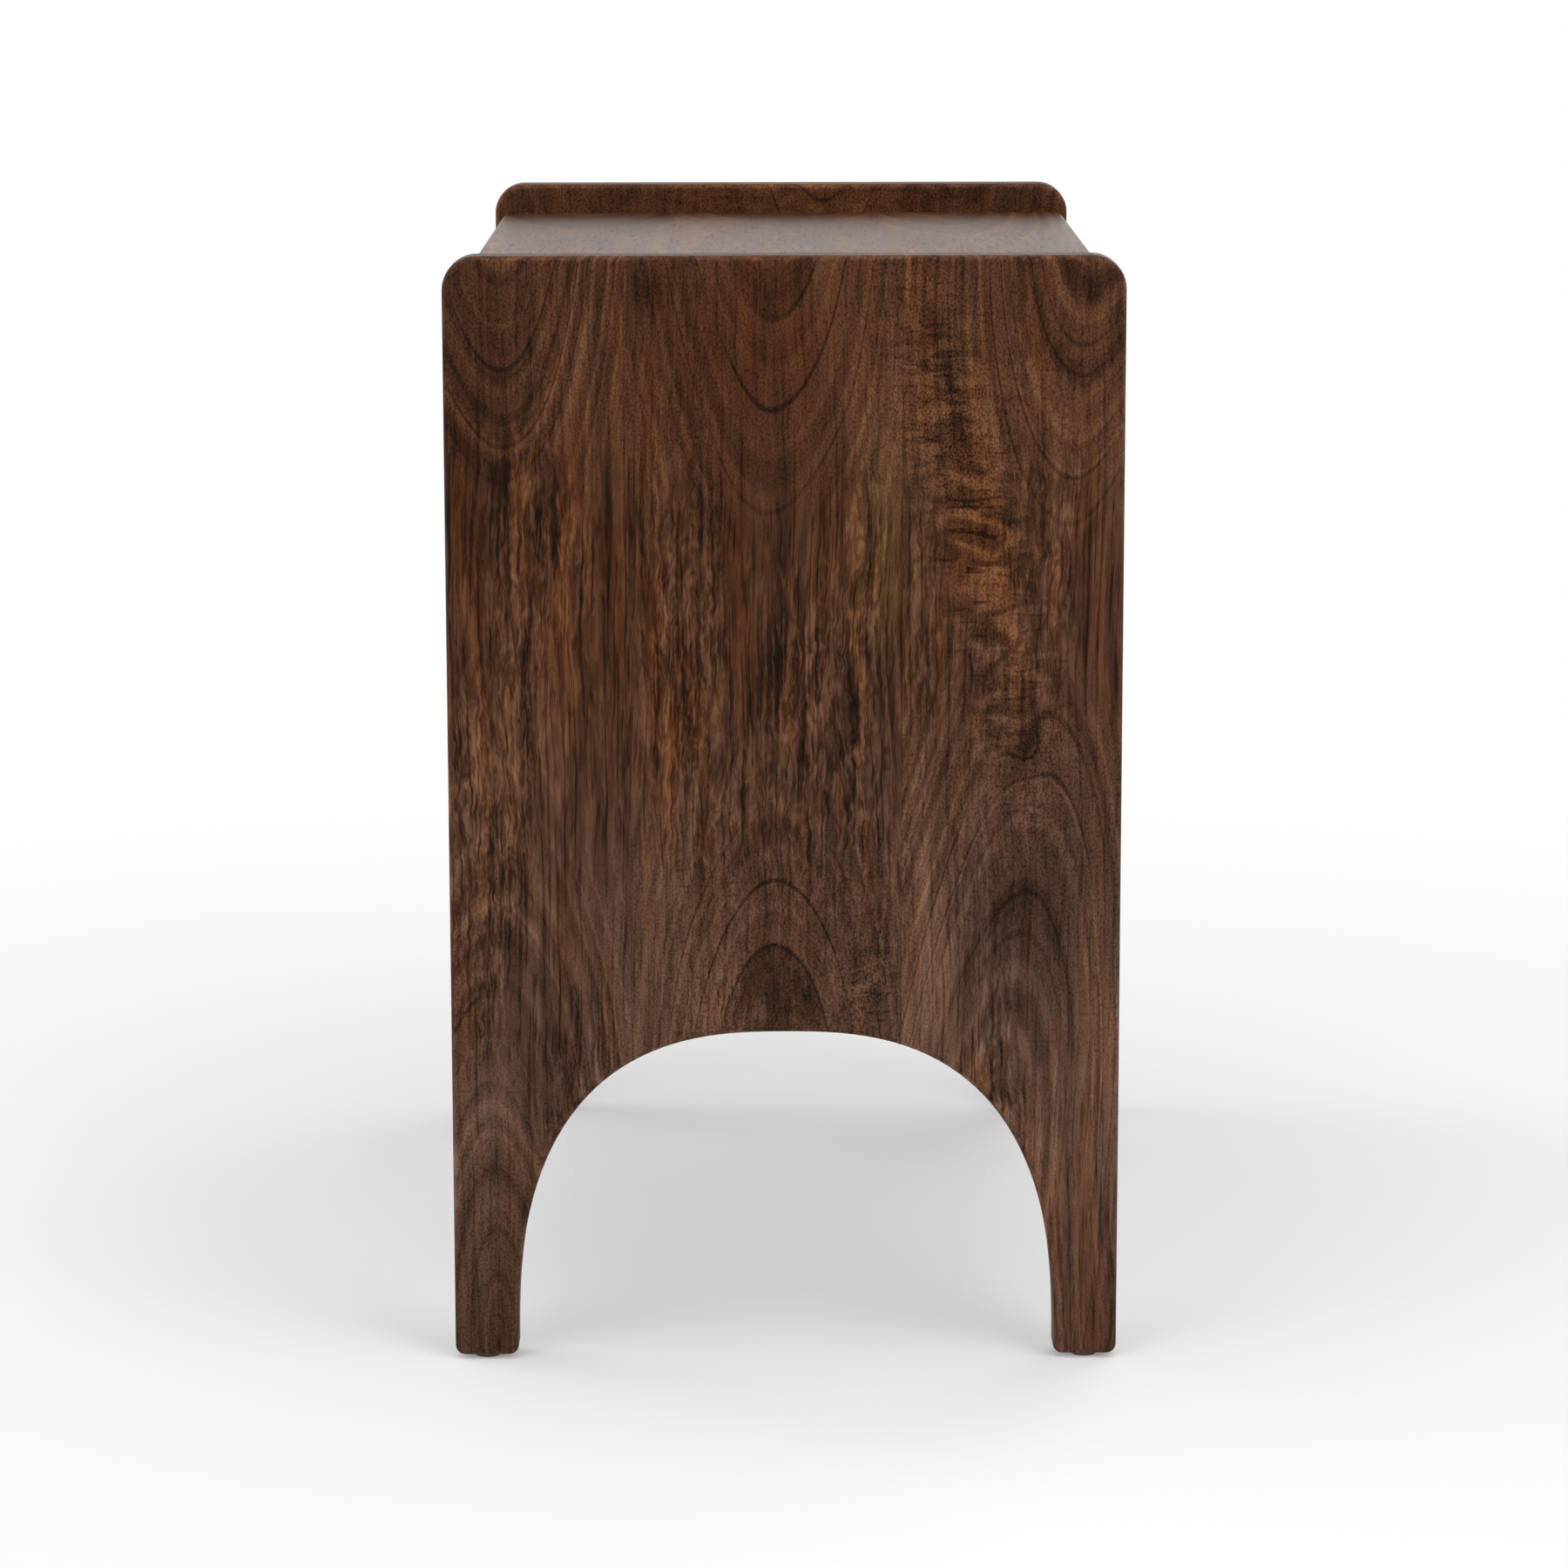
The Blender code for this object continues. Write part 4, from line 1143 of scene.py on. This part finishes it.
def bendAndPunch(piece, node, web):
    # rolled bends, then screw holes and slots through the web at this x
    bevelEdges(piece, along(1, {}), slide["bend"], slide["bendSegments"])
    low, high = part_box(node)
    middle, half = (low.z + high.z) / 2, slide["slotHeight"] / 2
    before, behind = web - 3 * past, web + 3 * past
    cutters = []
    for end in bothEnds:
        start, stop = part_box(f"{node}_screw_{end}")
        place = (start.y + stop.y) / 2
        hole = (before, place, middle), (behind, place, middle)
        cutters.append(addRod("hole", *hole, slide["holeRadius"], slide["holeSides"]))
    for fromFront in slide["slots"]:
        start = low.y + fromFront
        stop = start + slide["slotLength"]
        slot = addBlock("slot", (before, start, middle - half), (behind, stop, middle + half))
        bevelEdges(slot, along(0, {}), half * slide["slotRound"], slide["slotSegments"])
        cutters.append(slot)
    cutAway(piece, *cutters)
    smoothOff(piece)


def modelSlide(kind, body, drawer, side, sign):
    # the channel's web is on the slab, and the rail is open there, with its web on the drawer
    node = f"{drawer}_slide_{kind}_{side}"
    low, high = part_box(node)
    face, inner = slabSide(low, high, sign)
    deep, sheet, lip = high.x - low.x, slide["sheet"], slide["lip"]
    piece = addBlock(node, low, high)
    y = (low.y - past, high.y + past)
    z = (low.z + sheet, high.z - sheet)
    if kind == "channel":
        mouth = between(sign, face, deep - sheet - past / 10, deep + past, y, (z[0] + lip, z[1] - lip))
        hollows = [between(sign, face, sheet, deep - sheet, y, z), mouth]
    else:
        hollows = [between(sign, face, -past, deep - sheet, y, z)]
    cutAway(piece, *[addBlock("hollow", *corners) for corners in hollows])
    bendAndPunch(piece, node, face if kind == "channel" else inner)
    handOver(piece, zinc, body, "zinc", node)


def addBall(place):
    clearSelection()
    bpy.ops.mesh.primitive_uv_sphere_add(
        segments=slide["ballSides"], ring_count=slide["ballRings"], radius=slide["ballRadius"], location=place
    )
    settle()
    return bpy.context.object


def modelCage(drawer, side, sign):
    node = f"{drawer}_ball_cage_{side}"
    low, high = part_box(node)
    middle, half, sheet = (low.z + high.z) / 2, slide["cageHalf"], slide["cageSheet"]
    face = slabSide(low, high, sign)[0]
    row = slabSide(*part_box(f"side_panel_{side}"), sign)[1] - sign * slide["ballRow"]
    piece = addBlock(node, (low.x, low.y, middle - half), (high.x, high.y, middle + half))
    y = (low.y - past, high.y + past)
    z = (middle - half + sheet, middle + half - sheet)
    cutAway(piece, addBlock("hollow", *between(sign, face, sheet, high.x - low.x + past, y, z)))
    bevelEdges(piece, along(1, {}), slide["cageBend"], slide["cageSegments"])
    for index in range(slide["ballCount"]):
        place = low.y + slide["cageEnd"] + index * slide["ballPitch"]
        for rise in (-slide["ballHalf"], slide["ballHalf"]):
            joinOn(piece, addBall((row, place, middle + rise)))
    smoothOff(piece, slide["roundAngle"])
    handOver(piece, zinc, drawer + "_cages", "zinc", node)


# Screws, modelled once for each length and copied

screw = {
    "headRadius": 0.00325, "headHeight": 0.0018, "headSides": 32, "crown": 0.0011, "crownSegments": 5,
    "crossSpan": 0.0036, "crossSlot": 0.001, "crossDepth": 0.001, "shankRadius": 0.0015,
    "shankSides": 20,
    "sunk": 0.0003,  # how far the shank reaches into the head
    "tip": 0.002, "tipShare": 0.06, "roundAngle": 40,
}


def modelScrew(name, length):
    top = screw["headHeight"]
    piece = addRod(name, (0, 0, 0), (0, 0, top), screw["headRadius"], screw["headSides"])
    bevelEdges(piece, inPlane(2, top), screw["crown"], screw["crownSegments"])
    arm, slot, floor = screw["crossSpan"] / 2, screw["crossSlot"] / 2, top - screw["crossDepth"]
    cross = addBlock("cross", (-arm, -slot, floor), (arm, slot, top + past))
    joinOn(cross, addBlock("crossArm", (-slot, -arm, floor), (slot, arm, top + past)))
    cutAway(piece, cross)
    neck = screw["tip"] - length
    shank = addRod("shank", (0, 0, neck), (0, 0, screw["sunk"]), screw["shankRadius"], screw["shankSides"])
    drawTip(shank, neck, (0, 0, -length), screw["tipShare"])
    joinOn(piece, shank)
    smoothOff(piece, screw["roundAngle"])
    return piece


def driveScrew(model, name, node, body, axis, towards):
    # head's seat is a head's height in from the end that the screw was driven from
    low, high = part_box(node)
    place = (low + high) / 2
    place[axis] = (low if towards > 0 else high)[axis] + towards * screw["headHeight"]
    ahead = Vector()
    ahead[axis] = -towards
    piece = copyOf(model.data, name)
    piece.location = place
    piece.rotation_euler = ahead.to_track_quat("Z", "Y").to_euler()
    settle()
    handOver(piece, zinc, body, "zinc", node)


def screwLength(node, axis):
    low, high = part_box(node)
    return high[axis] - low[axis] - screw["headHeight"]


slideScrew = modelScrew("slideScrew", screwLength("lower_slide_rail_left_screw_front", 0))
faceScrew = modelScrew("faceScrew", screwLength("lower_face_screw_left", 1))
for drawer in drawers:
    for side, sign in sides.items():
        modelSlide("channel", "case", drawer, side, sign)
        modelSlide("rail", drawer + "_drawer", drawer, side, sign)
        modelCage(drawer, side, sign)
        for end in bothEnds:
            for kind, body, towards in (("channel", "case", sign), ("rail", drawer + "_drawer", -sign)):
                node = f"{drawer}_slide_{kind}_{side}_screw_{end}"
                name = f"{drawer}_{kind}_screw_{side}_{end}"
                driveScrew(slideScrew, name, node, body, 0, towards)
        node = f"{drawer}_face_screw_{side}"
        driveScrew(faceScrew, node, node, drawer + "_drawer", 1, -1)
for model in (slideScrew, faceScrew):
    bpy.data.objects.remove(model)
print("ball slides and screws")


# Foot glides and dowels

glide = {
    "headHeight": 0.002, "headSides": 48, "rim": 0.0007, "rimSegments": 4, "nailRadius": 0.0011,
    "nailSides": 16, "sunk": 0.0003, "tip": 0.0022, "tipShare": 0.08,
}

dowel = {"sides": 48, "flute": 0.95, "chamfer": 0.001, "chamferSegments": 2, "roundAngle": 25}

dowelWood = {
    "axes": "YXZ", "centre": (0, 0, 0.605),
    "staves": [stave(1.0, 0.02, 181.6, 0.07, -0.3, 0.1, 0.3, 0.1)],
}

beech = woodFinish("bareBeech", dowelWood, bareBeech)


def modelGlide(end, side):
    node = f"foot_glide_{end}_{side}"
    low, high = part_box(node)
    x, y = (low.x + high.x) / 2, (low.y + high.y) / 2
    top, neck = low.z + glide["headHeight"], high.z - glide["tip"]
    piece = addRod(node, (x, y, low.z), (x, y, top), (high.x - low.x) / 2, glide["headSides"])
    bevelEdges(piece, inPlane(2, low.z), glide["rim"], glide["rimSegments"])
    nail = addRod("nail", (x, y, top - glide["sunk"]), (x, y, neck), glide["nailRadius"], glide["nailSides"])
    drawTip(nail, neck, (x, y, high.z), glide["tipShare"])
    joinOn(piece, nail)
    smoothOff(piece)
    handOver(piece, nylon, "case", "nylon", node)


def modelDowel(end, side):
    node = f"top_dowel_{end}_{side}"
    low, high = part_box(node)
    middle = (low + high) / 2
    ends = [(x, middle.y, middle.z) for x in (low.x, high.x)]
    piece = addRod(node, *ends, (high.z - low.z) / 2, dowel["sides"])
    step = math.tau / dowel["sides"]

    def inFlute(place):
        turn = math.atan2(place.z - middle.z, place.y - middle.y) / step
        return round(turn) % 2 == 1

    selectVerts(piece, inFlute)
    bpy.ops.transform.resize(value=(1, dowel["flute"], dowel["flute"]), center_override=middle)
    leaveEdit()
    for place in (low.x, high.x):
        bevelEdges(piece, inPlane(0, place), dowel["chamfer"], dowel["chamferSegments"])
    smoothOff(piece, dowel["roundAngle"])
    handOver(piece, beech, "case", "dowel_wood", node)


for side in sides:
    for end in bothEnds:
        modelGlide(end, side)
        modelDowel(end, side)
print("foot glides and dowels")
